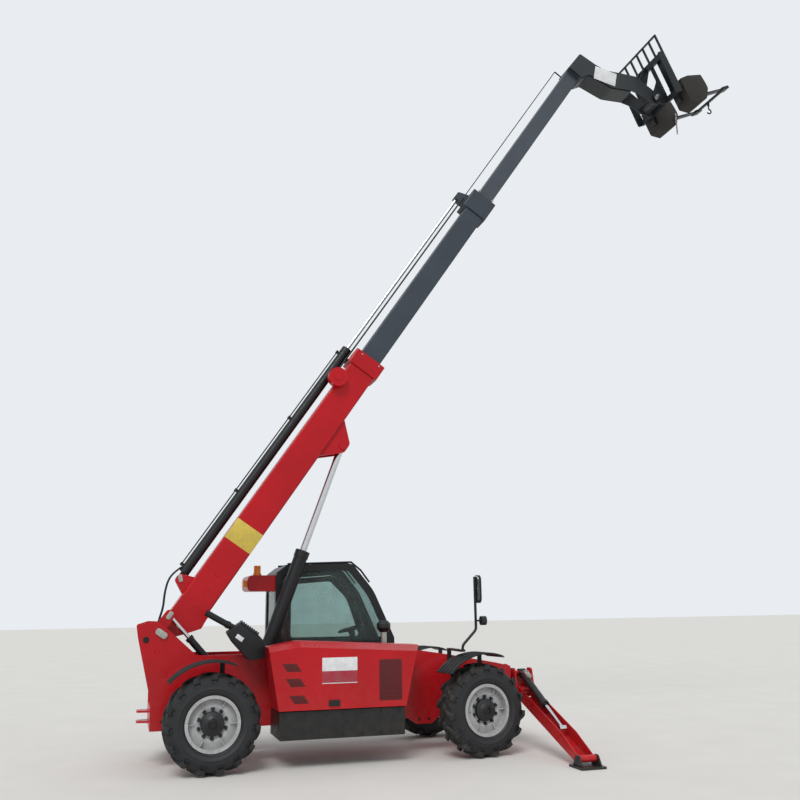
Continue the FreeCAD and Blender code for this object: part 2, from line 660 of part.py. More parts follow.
def section_two():
    half_height = SECTION_TWO_HEIGHT / 2
    v = (BOOM_MIDDLE - half_height, BOOM_MIDDLE + half_height)
    tube = box_tube((SECTION_TWO_TAIL, SECTION_TWO_FRONT), SECTION_TWO_HALF_WIDTH, v,
                    SECTION_TWO_WALL, 20.0)
    head_u = (SECTION_TWO_FRONT - HEAD_TWO_LENGTH, SECTION_TWO_FRONT)
    collar = box_tube(head_u, SECTION_TWO_HALF_WIDTH + 24, (v[0] - 42, v[1] + 66), 60.0, 24.0)
    hole = plate_yz(rectangle((-SECTION_TWO_HALF_WIDTH + 2, v[0] + 2), (SECTION_TWO_HALF_WIDTH - 2, v[1] - 2)),
                    head_u[0] - 1, head_u[1] + 1, 18.0)
    collar = collar.cut(hole)
    block_on_top = plate_xz([(head_u[0] + 60, v[1] + 60), (head_u[0] + 60, TELE_HEIGHT + 50, 20),
                             (head_u[0] + 170, TELE_HEIGHT + 50, 20), (head_u[0] + 250, v[1] + 60)],
                            -75, 75)
    block_on_top = block_on_top.cut(bar(V(head_u[0], 0, TELE_HEIGHT),
                                        V(head_u[0] + 100, 0, TELE_HEIGHT), TELE_ROD_DIAMETER / 2))
    pads = wear_pads((SECTION_TWO_FRONT - PAD_LENGTH, SECTION_TWO_FRONT), SECTION_TWO_HALF_WIDTH,
                     half_height, SECTION_TWO_WALL, SECTION_THREE_HALF_WIDTH, SECTION_THREE_HEIGHT / 2)
    return on_boom_frame(fused([tube, collar, block_on_top] + pads))


HEAD_OUTLINE = [
    # u, v, corner radius: down the front, round the tilt pivot, up the back
    (SECTION_THREE_FRONT - 20, -20), (11900, -40, 40), (11935, -380, 200), (11975, -580, 200),
    (12145, -830, 300), (12320, -1105, 200), (12330, -1700, 105), (12114, -1740, 105),
    (12090, -1400, 200), (12000, -1170, 200), (11770, -850, 200), (11675, -390, 100),
    (SECTION_THREE_FRONT - 20, -310)]
HEAD_BACK = [
    (SECTION_THREE_FRONT - 20, -310), (11675, -390), (11770, -850, 200), (12000, -1170),
    (11990, -1190), (11750, -856, 200), (11656, -402), (SECTION_THREE_FRONT - 20, -324)]


def section_three():
    """Boom section three with the gooseneck head welded to its end."""
    half_height = SECTION_THREE_HEIGHT / 2
    v = (BOOM_MIDDLE - half_height, BOOM_MIDDLE + half_height)
    tube = box_tube((SECTION_THREE_TAIL, SECTION_THREE_FRONT), SECTION_THREE_HALF_WIDTH, v,
                    SECTION_THREE_WALL, 16.0)
    pieces = [tube]
    for side in (RIGHT, LEFT):
        faces = sorted((side * (HEAD_HALF_WIDTH - HEAD_PLATE), side * HEAD_HALF_WIDTH))
        pieces.append(plate_xz(HEAD_OUTLINE, *faces))
    inside = HEAD_HALF_WIDTH - HEAD_PLATE + 1
    end = SECTION_THREE_FRONT
    pieces.append(plate_xz(HEAD_BACK, -inside, inside))
    pieces.append(plate_xz([(end - 20, -20), (11900, -40), (11935, -380), (11915, -382), (11880, -60),
                            (end - 20, -40)], -inside, inside))
    pieces.append(block((end - 20, end), (-inside, inside), (-325, -20)))
    pieces.append(pin_y(TILT_FOOT[0], TILT_FOOT[1], 35.0, -inside, inside))
    u, w = TILT_PIVOT
    pieces.append(pin_y(u, w, TILT_PIN_DIAMETER / 2, -HEAD_HALF_WIDTH - 48, HEAD_HALF_WIDTH + 48))
    pieces.append(pin_y(u, w, 70.0, -inside, inside))
    return on_boom_frame(fused(pieces))


# Cylinders

def barrel_piece(length, diameter, eye_radius, eye_width, pin_radius, rod_diameter, depth):
    """A barrel along X whose foot eye is at the origin and whose mouth is at x = length."""
    radius = diameter / 2
    start = eye_radius + 20
    pieces = [bar(V(start, 0, 0), V(length, 0, 0), radius),
              bar(V(length - radius, 0, 0), V(length, 0, 0), radius + 8),
              pin_y(0, 0, eye_radius, -eye_width / 2, eye_width / 2),
              block((0, start + 5), (-eye_width / 2, eye_width / 2), (-eye_radius * 0.8, eye_radius * 0.8))]
    body = fused(pieces)
    body = body.cut(bar(V(length - depth, 0, 0), V(length + 1, 0, 0), rod_diameter / 2 + PIN_FIT))
    return body.cut(pin_y(0, 0, pin_radius + PIN_FIT, -eye_width, eye_width))


def rod_piece(tail, length, diameter, eye_radius, eye_width):
    """A rod along X from tail to its eye at x = length, with the pin in the eye."""
    pieces = [bar(V(tail, 0, 0), V(length, 0, 0), diameter / 2),
              pin_y(length, 0, eye_radius, -eye_width / 2, eye_width / 2)]
    return fused(pieces)


def lift_barrel():
    body = barrel_piece(LIFT_BARREL_LENGTH, LIFT_BARREL_DIAMETER, LIFT_FOOT_RADIUS, LIFT_EYE_WIDTH,
                        LIFT_FOOT_PIN / 2, LIFT_ROD_DIAMETER, LIFT_BARREL_LENGTH - 200)
    return between(body, lift_foot(), boom_point(*LIFT_PIN))


def lift_rod():
    tail = LIFT_LENGTH_AT_REST - 2150.0
    body = rod_piece(tail, LIFT_LENGTH_AT_REST, LIFT_ROD_DIAMETER, LIFT_EYE_RADIUS, LIFT_EYE_WIDTH)
    return between(body, lift_foot(), boom_point(*LIFT_PIN))


def comp_ends():
    foot = V(COMP_FOOT[0], COMP_Y, COMP_FOOT[1])
    return foot, boom_point(*COMP_PIN) + V(0, COMP_Y, 0)


def comp_barrel():
    body = barrel_piece(COMP_BARREL_LENGTH, COMP_BARREL_DIAMETER, COMP_EYE_RADIUS, COMP_EYE_WIDTH,
                        25.0, COMP_ROD_DIAMETER, COMP_BARREL_LENGTH - 120)
    return between(body, *comp_ends())


def comp_rod():
    foot, pin = comp_ends()
    length = (pin - foot).Length
    body = rod_piece(length - 560.0, length, COMP_ROD_DIAMETER, COMP_EYE_RADIUS, COMP_EYE_WIDTH)
    return between(body, foot, pin)


def tilt_ends():
    angle = math.radians(CARRIAGE_ANGLE_AT_REST)
    along, up = TILT_LEVER
    lever = V(along * math.cos(angle) - up * math.sin(angle), 0,
              along * math.sin(angle) + up * math.cos(angle))
    return boom_point(*TILT_FOOT), boom_point(*TILT_PIVOT) + lever


def tilt_barrel():
    body = barrel_piece(TILT_BARREL_LENGTH, TILT_BARREL_DIAMETER, 60.0, TILT_EYE_WIDTH, 35.0,
                        TILT_ROD_DIAMETER, TILT_BARREL_LENGTH - 130)
    return between(body, *tilt_ends())


def tilt_rod():
    foot, pin = tilt_ends()
    length = (pin - foot).Length
    body = rod_piece(length - 950.0, length, TILT_ROD_DIAMETER, TILT_EYE_RADIUS, TILT_EYE_WIDTH)
    return between(body, foot, pin)


# Carriage

def carriage():
    """The fork carriage with its load backrest, in the frame of the tilt pivot."""
    back, front = CARRIAGE_BACK, CARRIAGE_BACK + CARRIAGE_DEPTH
    half = CARRIAGE_HALF_WIDTH
    pieces = [block((back, front), (-half, half), (CARRIAGE_TOP - 100, CARRIAGE_TOP)),
              block((back, front), (-half, half), (CARRIAGE_BOTTOM, CARRIAGE_BOTTOM + 90))]
    side_plate = [(back - 80, CARRIAGE_BOTTOM, 30), (back - 60, CARRIAGE_TOP, 30), (front, CARRIAGE_TOP),
                  (front, CARRIAGE_BOTTOM)]
    for side in (RIGHT, LEFT):
        pieces.append(plate_xz(side_plate, *sorted((side * (half - 25), side * half))))
        near = HEAD_HALF_WIDTH + RUN_GAP
        lug = [(-60, -60, 55), (-60, 60, 55), (back, 300, 60), (back, CARRIAGE_TOP), (front, CARRIAGE_TOP),
               (front, CARRIAGE_BOTTOM), (60, CARRIAGE_BOTTOM, 50)]
        pieces.append(plate_xz(lug, *sorted((side * near, side * (near + 30)))))
        eye_u, eye_w = TILT_LEVER
        near = TILT_LUG_GAP / 2
        tilt_lug = [(eye_u - 55, eye_w - 55, 50), (eye_u - 55, eye_w + 70, 50), (back, CARRIAGE_TOP),
                    (front, CARRIAGE_TOP), (front, CARRIAGE_TOP - 90), (eye_u + 70, eye_w - 55, 50)]
        pieces.append(plate_xz(tilt_lug, *sorted((side * near, side * (near + 24)))))
    rail = 30.0
    pieces.append(block((front - rail, front), (-half, half), (BACKREST_TOP - rail, BACKREST_TOP)))
    for index in range(BACKREST_BARS):
        y = -half + rail / 2 + index * (2 * half - rail) / (BACKREST_BARS - 1)
        pieces.append(block((front - rail, front), (y - rail / 2, y + rail / 2),
                            (CARRIAGE_TOP - 5, BACKREST_TOP - 5)))
    body = fused(pieces)
    hole = pin_y(0, 0, TILT_PIN_DIAMETER / 2 + PIN_FIT, -HEAD_HALF_WIDTH - 60, HEAD_HALF_WIDTH + 60)
    return on_carriage(body.cut(hole))


def forks():
    """Two forks that hang on the carriage's front face."""
    front = CARRIAGE_BACK + CARRIAGE_DEPTH
    heel = front + FORK_THICKNESS
    low = CARRIAGE_BOTTOM - FORK_DROP
    outline = [(front, CARRIAGE_TOP - 20), (heel, CARRIAGE_TOP - 20), (heel, low, 20),
               (heel + FORK_LENGTH, low - FORK_THICKNESS + FORK_TIP_THICKNESS, 4),
               (heel + FORK_LENGTH, low - FORK_THICKNESS, 4), (front, low - FORK_THICKNESS, 45)]
    tines = []
    for side in (RIGHT, LEFT):
        centre = side * FORK_SPREAD / 2
        tines.append(plate_xz(outline, centre - FORK_WIDTH / 2, centre + FORK_WIDTH / 2))
    return on_carriage(Part.makeCompound(tines))


# Stabilisers

def leg_angle():
    """How far the leg points below level at rest, in degrees."""
    return math.degrees(math.atan2(LEG_PIVOT[1] - LEG_FOOT[1], LEG_FOOT[0] - LEG_PIVOT[0]))


def leg_length():
    return math.hypot(LEG_FOOT[0] - LEG_PIVOT[0], LEG_PIVOT[1] - LEG_FOOT[1])


def on_leg(shape, side):
    """Moves a shape whose +X runs down the leg from its pivot to its place at rest."""
    turn = FreeCAD.Rotation(Z_AXIS, 90 * side).multiply(FreeCAD.Rotation(Y_AXIS, leg_angle()))
    return moved(shape, FreeCAD.Placement(V(LEG_X, side * LEG_PIVOT[0], LEG_PIVOT[1]), turn))


def leg_point(along, above, side):
    angle = math.radians(leg_angle())
    return V(LEG_X, side * (LEG_PIVOT[0] + along * math.cos(angle) + above * math.sin(angle)),
             LEG_PIVOT[1] - along * math.sin(angle) + above * math.cos(angle))


def stabiliser_leg(side):
    """A channel open at the top, with a boss at each end."""
    length = leg_length()
    half = LEG_HALF_WIDTH
    low = -LEG_HEIGHT / 2
    web = block((90, length - 60), (-half, half), (low, low + LEG_PLATE))
    flange = [(0, low + 5, 60), (0 - 70, 0, 60), (0, 75, 60), (200, -low, 60), (length - 500, -low, 200),
              (length - 60, 20, 40), (length + 45, 0, 40), (length - 40, low, 60)]
    pieces = [web]
    for wall in (-1, 1):
        pieces.append(plate_xz(flange, *sorted((wall * (half - LEG_PLATE), wall * half))))
    pieces.append(pin_y(length, 0, 42.0, -half + 1, half - 1))
    pieces.append(pin_y(0, 0, 42.0, -half + 1, half - 1))
    body = fused(pieces)
    body = body.cut(pin_y(0, 0, LEG_PIN_RADIUS + PIN_FIT, -half - 1, half + 1))
    body = body.cut(pin_y(length, 0, LEG_PIN_RADIUS + PIN_FIT, -half - 1, half + 1))
    return on_leg(body, side)


def stabiliser_foot(side):
    """A square plate with two cheeks and the pin that it hangs from."""
    y, z = side * LEG_FOOT[0], LEG_FOOT[1]
    half = FOOT_SIDE / 2
    plate = plate_xy(rectangle((LEG_X - half, y - half), (LEG_X + half, y + half)), 0, FOOT_PLATE, 20.0)
    near = LEG_HALF_WIDTH + RUN_GAP
    pieces = [plate]
    cheek = [(y - 120, FOOT_PLATE - 2), (y - 45, z + 45, 44), (y + 45, z + 45, 44), (y + 120, FOOT_PLATE - 2)]
    for wall in (-1, 1):
        x = sorted((LEG_X + wall * near, LEG_X + wall * (near + 18)))
        pieces.append(plate_yz(cheek, *x))
    pieces.append(pin_x(y, z, LEG_PIN_RADIUS, LEG_X - near - 20, LEG_X + near + 20))
    return fused(pieces)


def ram_ends(side):
    foot = V(LEG_X, side * RAM_FOOT[0], RAM_FOOT[1])
    return foot, leg_point(RAM_PIN_ALONG, RAM_PIN_ABOVE, side)


def ram_place(shape, side):
    """Lays a cylinder piece made along X, with its eyes across Y, along the leg's cylinder."""
    foot, pin = ram_ends(side)
    fall = math.degrees(math.atan2(foot.z - pin.z, abs(pin.y - foot.y)))
    turn = FreeCAD.Rotation(Z_AXIS, 90 * side).multiply(FreeCAD.Rotation(Y_AXIS, fall))
    return moved(shape, FreeCAD.Placement(foot, turn))


def ram_barrel(side):
    body = barrel_piece(RAM_BARREL_LENGTH, RAM_BARREL_DIAMETER, 50.0, 100.0, LEG_PIN_RADIUS,
                        RAM_ROD_DIAMETER, RAM_BARREL_LENGTH - 120)
    return ram_place(body, side)


def ram_rod(side):
    foot, pin = ram_ends(side)
    length = (pin - foot).Length
    body = rod_piece(length - 820.0, length, RAM_ROD_DIAMETER, RAM_EYE_RADIUS, 90.0)
    return ram_place(body, side)


# Engine side

HOOD_EDGE = [
    # x, z of the hood's outer side, from the top rear round to the bottom rear
    (658, 1391), (1043, 1441), (2570, 1357), (2416, HOOD_BOTTOM), (785, HOOD_BOTTOM)]
HOOD_CROWN = [
    # the same corners where the sloping shoulder meets the flat top
    (671, 1442), (1062, 1509), (2657, 1426), (2480, HOOD_BOTTOM), (785, HOOD_BOTTOM)]


def ruled(sections):
    """A solid through flat outlines in X and Z, each (y, points)."""
    wires = [Part.makePolygon([V(x, y, z) for x, z in points + points[:1]]) for y, points in sections]
    return Part.makeLoft(wires, True, True)


def inset(points, sheet):
    """The hood's outline for its inner skin: in by one sheet, and open at the bottom."""
    rear_top, crest, front_top, front_low, rear_low = points
    return [(rear_top[0] + sheet, rear_top[1] - sheet), (crest[0], crest[1] - sheet),
            (front_top[0] - sheet, front_top[1] - sheet), (front_low[0] - sheet, front_low[1] - sheet),
            (rear_low[0] + sheet, rear_low[1] - sheet)]


def hood():
    """The engine hood: a skin open below and inside, with its hinge ears."""
    sheet = HOOD_SHEET
    outside = fused([ruled([(HOOD_OUTSIDE, HOOD_EDGE), (HOOD_SHOULDER, HOOD_CROWN)]),
                     ruled([(HOOD_SHOULDER, HOOD_CROWN), (HOOD_INSIDE, HOOD_CROWN)])])
    edge, crown = inset(HOOD_EDGE, sheet), inset(HOOD_CROWN, sheet)
    inside = fused([ruled([(HOOD_OUTSIDE + sheet, edge), (HOOD_SHOULDER, crown)]),
                    ruled([(HOOD_SHOULDER, crown), (HOOD_INSIDE + 1, crown)])])
    skin = outside.cut(inside)
    y, z = HOOD_HINGE
    ears = []
    for x in HOOD_HINGES:
        for start in (x - 50, x + 26):
            ear = plate_yz([(HOOD_INSIDE - 60, 1500), (HOOD_INSIDE + 2, 1500), (y + 20, z + 10, 18),
                            (y + 20, z - 20, 18), (y - 22, z - 20, 18)], start, start + 24)
            ears.append(ear.common(outside_reach()))
    body = fused([skin] + ears)
    for x in HOOD_HINGES:
        body = body.cut(pin_x(y, z, HINGE_PIN + PIN_FIT, x - 60, x + 60))
    return body


def outside_reach():
    """The space under the hood's top sheet, which trims the hinge ears."""
    crown = [(x, z) for x, z in HOOD_CROWN]
    return ruled([(HOOD_SHOULDER, crown), (HOOD_INSIDE + 100, crown)])


def engine_tray():
    """The black box under the hood: battery and tool case, with the engine's floor on top."""
    outline = [(800, 345, 20), (800, 676), (2405, 676), (2405, 345, 20)]
    return plate_xz(outline, -1120, -RAIL_OUTSIDE)


def engine_block():
    """The engine as one plain block on the floor."""
    return block((1000, 1900), (-1060, -520), (676, 1240))


def silencer():
    """The exhaust box behind the hood with its tail pipe and bracket."""
    box = plate_xz([(190, 1560, 30), (300, 1700, 30), (610, 1620, 30), (610, 1360, 30), (300, 1340, 30),
                    (190, 1400, 30)], -830, -570)
    pipe = bar(V(-80, -700, 1880), V(260, -700, 1640), 50.0)
    bore = bar(V(-80, -700, 1880) + V(-340, 0, 240) * 0.01, V(90, -700, 1760), 44.0)
    bracket = block((420, 560), (-600, -RAIL_OUTSIDE), (1280, 1335))
    post = block((420, 560), (-600, -580), (1280, 1400))
    return fused([box, pipe.cut(bore), bracket, post])


def pre_cleaner():
    """The air intake stack with its round bowl."""
    x, y = 2330.0, -RAIL_OUTSIDE + RAIL_PLATE / 2
    z = RAIL_TOP
    stack = pin_z(x, y, 40.0, z, z + 260)
    bowl = Part.makeCone(60.0, 95.0, 60.0, V(x, y, z + 240), Z_AXIS)
    top = pin_z(x, y, 95.0, z + 300, z + 350)
    dome = Part.makeCone(95.0, 60.0, 40.0, V(x, y, z + 350), Z_AXIS)
    return fused([stack, bowl, top, dome])


def mirror_mast():
    """The lamp and mirror post at the front right, on a bracket over the mudguard."""
    y = -1000.0
    bracket = block((3240, 3300), (y, -RAIL_OUTSIDE), (1318, 1348))
    root = block((3240, 3300), (-RAIL_OUTSIDE - 12, -RAIL_OUTSIDE), (1180, 1340))
    mast = pipe([V(3270, y + 20, 1335), V(3270, y + 20, 1400), V(3470, y + 20, 1600),
                 V(3470, y + 20, 2300)], 18.0, 90.0)
    mirror = plate_yz(rectangle((y - 100, 1950), (y + 90, 2320)), 3490, 3520, 70.0)
    stay = bar(V(3470, y + 20, 2130), V(3500, y + 20, 2130), 14.0)
    lamp_arm = pipe([V(3470, y + 20, 1720), V(3470, y - 80, 1720), V(3500 - SEAT_GAP, y - 80, 1720)],
                    12.0, 20.0)
    return fused([bracket, root, mast, mirror, stay, lamp_arm])


# Cab

CAB_OUTLINE = [
    # x, z, corner radius above the sill
    (950, CAB_SILL), (950, 2400, 90), (1100, 2510, 90), (2060, 2540, 160), (2380, 2150, 700),
    (2690, 1480, 60), (2690, CAB_SILL)]
TUB_OUTLINE = [
    # x, z, corner radius below the sill
    (950, 820, 60), (950, CAB_SILL + 60), (2650, CAB_SILL + 60), (2600, 1150, 60), (2560, 950, 80),
    (2430, 820, 80)]
DOOR_OUTLINE = [(1250, 900, 60), (1250, 2340, 60), (1960, 2390, 90), (2280, 2080, 500), (2500, 1500, 60),
                (2480, 900, 60)]
DOOR_WINDOW = [(1330, 1480, 40), (1330, 2260, 40), (1930, 2305, 70), (2190, 2060, 400), (2400, 1480, 40)]
SIDE_WINDOW = [(1040, 1450, 40), (1040, 2330, 60), (1130, 2420, 60), (2000, 2440, 100), (2300, 2080, 600),
               (2590, 1450, 40)]


def cab_solid(shrink):
    """The cab's outside, drawn in by shrink on every face."""
    upper = face(CAB_OUTLINE, lambda a, b: V(a, CAB_INSIDE + shrink, b))
    lower = face(TUB_OUTLINE, lambda a, b: V(a, CAB_STEP + shrink, b))
    if shrink:
        upper, lower = upper.makeOffset2D(-shrink), lower.makeOffset2D(-shrink)
    top = upper.extrude(V(0, CAB_OUTSIDE - CAB_INSIDE - 2 * shrink, 0))
    tub = lower.extrude(V(0, CAB_OUTSIDE - CAB_STEP - 2 * shrink, 0))
    if shrink:
        neck = block((950 + shrink, 2600 - shrink), (CAB_STEP + shrink, CAB_OUTSIDE - shrink),
                     (CAB_SILL - 80, CAB_SILL + 60 + shrink))
        return fused([top, tub, neck])
    return fused([top, tub])


def window_cutters():
    """Solids that pass through the walls where the panes are."""
    near, far = CAB_INSIDE, CAB_OUTSIDE
    cutters = [plate_xz(SIDE_WINDOW, near - 10, near + CAB_WALL + 20),
               plate_yz(rectangle((near + 110, 1480), (far - 110, 2330)), 930, 1010, 60.0),
               front_cutter()]
    return cutters


def front_cutter():
    """The windscreen and roof light: everything forward of the posts, between the side walls."""
    outline = [(1500, 2450), (1500, 2700), (2900, 2700), (2900, 1470), (2560, 1470), (2240, 2130, 600),
               (1990, 2450, 100)]
    return plate_xz(outline, CAB_INSIDE + 80, CAB_OUTSIDE - 80)


def cab_shell():
    """The cab: floor, posts, sills and roof frame, with its windows and doorway open."""
    shell = cab_solid(0).cut(cab_solid(CAB_WALL))
    for cutter in window_cutters():
        shell = shell.cut(cutter)
    shell = shell.cut(doorway())
    pieces = [shell]
    for x in (1620.0, 1740.0, 1860.0, 1980.0):
        pieces.append(block((x, x + 24), (CAB_INSIDE + 70, CAB_OUTSIDE - 70), (2522, 2540)))
    pieces += door_hinges(False)
    pieces.append(block((1000, 2500), (RAIL_OUTSIDE, CAB_STEP + 10), (1000, 1300)))
    return fused(pieces)


def doorway():
    wide = face(DOOR_OUTLINE, lambda a, b: V(a, CAB_OUTSIDE - CAB_WALL - 30, b)).makeOffset2D(DOOR_GAP)
    return wide.extrude(V(0, CAB_WALL + 60, 0))


def door_hinges(on_door):
    """Hinge leaves at two heights, with the pins on the cab's side."""
    x, y = DOOR_HINGE
    pieces = []
    for z in (1150.0, 2050.0):
        if on_door:
            leaf = block((x, 1290), (CAB_OUTSIDE + 1, y + 14), (z - 30, z + 30))
            leaf = leaf.fuse(pin_z(x, y, 14.0, z - 30, z + 30))
            pieces.append(leaf.cut(pin_z(x, y, 8.0 + PIN_FIT, z - 40, z + 40)))
            pieces.append(block((1262, 1290), (CAB_OUTSIDE - 4, CAB_OUTSIDE + 2), (z - 30, z + 30)))
        else:
            pieces.append(pin_z(x, y, 8.0, z - 60, z + 60))
            for low in (z - 60, z + 34):
                pieces.append(block((x - 60, x), (CAB_OUTSIDE - 4, y + 12), (low, low + 26)))
                pieces.append(pin_z(x, y, 12.0, low, low + 26))
    return pieces


def cab_door():
    panel = plate_xz(DOOR_OUTLINE, CAB_OUTSIDE - CAB_WALL, CAB_OUTSIDE)
    panel = panel.cut(plate_xz(DOOR_WINDOW, CAB_OUTSIDE - CAB_WALL - 5, CAB_OUTSIDE + 5))
    return fused([panel] + door_hinges(True))


def door_glass():
    middle = CAB_OUTSIDE - CAB_WALL / 2
    return plate_xz(DOOR_WINDOW, middle - GLASS / 2, middle + GLASS / 2)


def cab_glass():
    """The fixed panes, in the middle of the walls they sit in."""
    middle = CAB_WALL / 2
    skin = cab_solid(middle - GLASS / 2).cut(cab_solid(middle + GLASS / 2))
    panes = [skin.common(cutter) for cutter in window_cutters()]
    return Part.makeCompound([solid for pane in panes for solid in pane.Solids])


def seat():
    y = 760.0
    floor = 860.0
    pedestal = block((1320, 1700), (y - 180, y + 180), (floor, 1240))
    cushion = plate_xz([(1260, 1240, 40), (1790, 1240, 40), (1800, 1350, 50), (1330, 1330, 30)],
                       y - 240, y + 240)
    back = plate_xz([(1230, 1300, 30), (1340, 1320, 30), (1260, 1960, 50), (1150, 1950, 50)],
                    y - 230, y + 230)
    return fused([pedestal, cushion, back])


def steering_column():
    y = 760.0
    floor = 860.0
    post = bar(V(2330, y, floor), V(2180, y, 1560), 45.0)
    ring = Part.makeTorus(185.0, 16.0, V(2170, y, 1600), V(-0.25, 0, 1))
    hub = bar(V(2180, y, 1550), V(2168, y, 1606), 50.0)
    spokes = [bar(V(2170, y, 1600), V(2170, y, 1600) + offset, 10.0)
              for offset in (V(0, 180, 0), V(0, -180, 0), V(-174, 0, -43))]
    post = post.common(block((1900, 2500), (500, 1000), (floor + SEAT_GAP, 1700)))
    return fused([post, ring, hub] + spokes)


def roof_box():
    """The red box behind the cab roof."""
    return plate_xz([(560, 2150, 50), (560, ROOF_BOX_TOP, 60), (950, ROOF_BOX_TOP), (950, 2150)], 300, 900)


def lamps():
    """The beacon on the roof box and the two work lamps: like pieces that don't touch."""
    low = ROOF_BOX_TOP + SEAT_GAP
    beacon = fused([pin_z(700, 380, 60, low, low + 26), pin_z(700, 380, 48, low + 20, low + 135)])
    rear = block((500, 560 - SEAT_GAP), (330, 480), (2210, 2300))
    front = bar(V(3500, -1080, 1720), V(3570, -1080, 1720), 60.0)
    return Part.makeCompound([beacon, rear, front])


def wheel_nodes():
    """Tyres, rims and knuckles for the four corners."""
    nodes = {}
    corners = {"front_right": (WHEELBASE, RIGHT), "front_left": (WHEELBASE, LEFT),
               "rear_right": (0.0, RIGHT), "rear_left": (0.0, LEFT)}
    tyre_shape, rim_shape, knuckle_shape = tyre(), rim(), knuckle()
    for name, (axle_x, side) in corners.items():
        place = wheel_place(axle_x, side)
        nodes["tyre_" + name] = moved(tyre_shape, place)
        nodes["rim_" + name] = moved(rim_shape, place)
        if side == RIGHT:
            nodes["knuckle_" + name] = moved(knuckle_shape, place)
        else:
            straight = FreeCAD.Placement(hub_point(axle_x, LEFT), FreeCAD.Rotation())
            steer = place.multiply(FreeCAD.Placement(V(0, 0, 0), FreeCAD.Rotation(Z_AXIS, 180)))
            nodes["knuckle_" + name] = moved(mirrored(knuckle_shape), steer)
            assert straight.Base.y > 0
    return nodes


def build():
    """Every node by name, laid out from the rear axle."""
    nodes = {
        "frame": frame(), "rear_axle": axle(0.0), "front_axle": axle(WHEELBASE),
        "engine_block": engine_block(), "engine_tray": engine_tray(), "hood": hood(),
        "silencer": silencer(), "pre_cleaner": pre_cleaner(), "mirror_mast": mirror_mast(),
        "cab_shell": cab_shell(), "cab_glass": cab_glass(), "cab_door": cab_door(),
        "door_glass": door_glass(), "seat": seat(), "steering_column": steering_column(),
        "roof_box": roof_box(), "lamps": lamps(),
        "outer_boom": outer_boom(), "tele_barrel": tele_barrel(), "tele_rod": tele_rod(),
        "section_two": section_two(), "section_three": section_three(),
        "lift_barrel": lift_barrel(), "lift_rod": lift_rod(),
        "comp_barrel": comp_barrel(), "comp_rod": comp_rod(),
        "tilt_barrel": tilt_barrel(), "tilt_rod": tilt_rod(),
        "carriage": carriage(), "forks": forks()}
    for name, side in (("right", RIGHT), ("left", LEFT)):
        nodes["stabiliser_leg_" + name] = stabiliser_leg(side)
        nodes["stabiliser_foot_" + name] = stabiliser_foot(side)
        nodes["ram_barrel_" + name] = ram_barrel(side)
        nodes["ram_rod_" + name] = ram_rod(side)
    nodes.update(wheel_nodes())
    return nodes


def middle_x(nodes):
    """The middle of the machine's box along X."""
    boxes = [shape.optimalBoundingBox(False) for shape in nodes.values()]
    return (min(box.XMin for box in boxes) + max(box.XMax for box in boxes)) / 2


def main():
    os.makedirs("parts", exist_ok=True)
    nodes = build()
    shift = V(-middle_x(nodes), 0, 0)
    for name, shape in nodes.items():
        shape.translate(shift)
        shape.exportStep("parts/%s.step" % name)


if __name__ == "__main__":
    main()
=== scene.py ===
import json
import math

import bmesh
import bpy
from bpy.props import FloatProperty, FloatVectorProperty, IntProperty, PointerProperty
from mathutils import Matrix, Vector


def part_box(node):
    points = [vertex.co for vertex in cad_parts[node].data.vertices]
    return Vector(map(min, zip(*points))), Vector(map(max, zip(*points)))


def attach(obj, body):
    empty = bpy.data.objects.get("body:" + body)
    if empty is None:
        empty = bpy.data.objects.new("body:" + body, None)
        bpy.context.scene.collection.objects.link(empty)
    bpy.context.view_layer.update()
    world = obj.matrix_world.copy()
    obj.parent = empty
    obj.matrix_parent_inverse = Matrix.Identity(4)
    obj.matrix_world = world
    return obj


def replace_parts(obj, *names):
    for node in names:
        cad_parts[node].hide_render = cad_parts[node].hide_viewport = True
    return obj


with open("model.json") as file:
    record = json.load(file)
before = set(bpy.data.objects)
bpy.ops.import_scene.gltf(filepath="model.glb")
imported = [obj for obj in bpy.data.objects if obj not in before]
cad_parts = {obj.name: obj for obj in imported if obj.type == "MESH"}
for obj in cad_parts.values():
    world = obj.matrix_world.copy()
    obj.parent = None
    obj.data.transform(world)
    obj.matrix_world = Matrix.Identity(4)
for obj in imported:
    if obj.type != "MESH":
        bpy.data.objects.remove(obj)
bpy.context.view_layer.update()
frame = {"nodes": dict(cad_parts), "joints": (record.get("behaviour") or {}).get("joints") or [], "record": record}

bl_info = {
    "name": "Telehandler dressing",
    "version": (1, 0, 0),
    "blender": (4, 5, 0),
    "location": "3D View > Sidebar > Telehandler",
    "description": "Dresses the solid model of a telescopic handler with finishes, tyres, trim and hoses",
    "category": "Object",
}

JOINTS = {joint["name"]: joint for joint in frame["joints"]}
CORNERS = ("front_right", "front_left", "rear_right", "rear_left")
MM = 0.001
RIGHT, LEFT = -1, 1
SIDES = (RIGHT, LEFT)
OUTWARD = {RIGHT: Vector((0, -1, 0)), LEFT: Vector((0, 1, 0))}
LEVEL = Vector((1, 0, 0))
DOWN = Vector((0, 0, -1))

# Frames of reference: the machine from its rear axle, the boom from its pivot, the carriage from its own

REAR_AXLE = JOINTS["spin_rear_right"]["pos_m"][0]
BOOM_FOOT = Vector(JOINTS["boom_lift"]["pos_m"])
BOOM_ALONG = Vector(JOINTS["section_two_extend"]["axis"]).normalized()
CARRIAGE_PIVOT = Vector(JOINTS["carriage_tilt"]["pos_m"])
CARRIAGE_ANGLE = math.radians(24.0)
CARRIAGE_ALONG = Vector((math.cos(CARRIAGE_ANGLE), 0, math.sin(CARRIAGE_ANGLE)))

# How far from the middle the parts on these surfaces stand, in mm: a hair off the solid

HOOD_SIDE, TRAY_SIDE, FRAME_SIDE, BOOM_SIDE = 1150.2, 1120.2, 450.2, 180.3


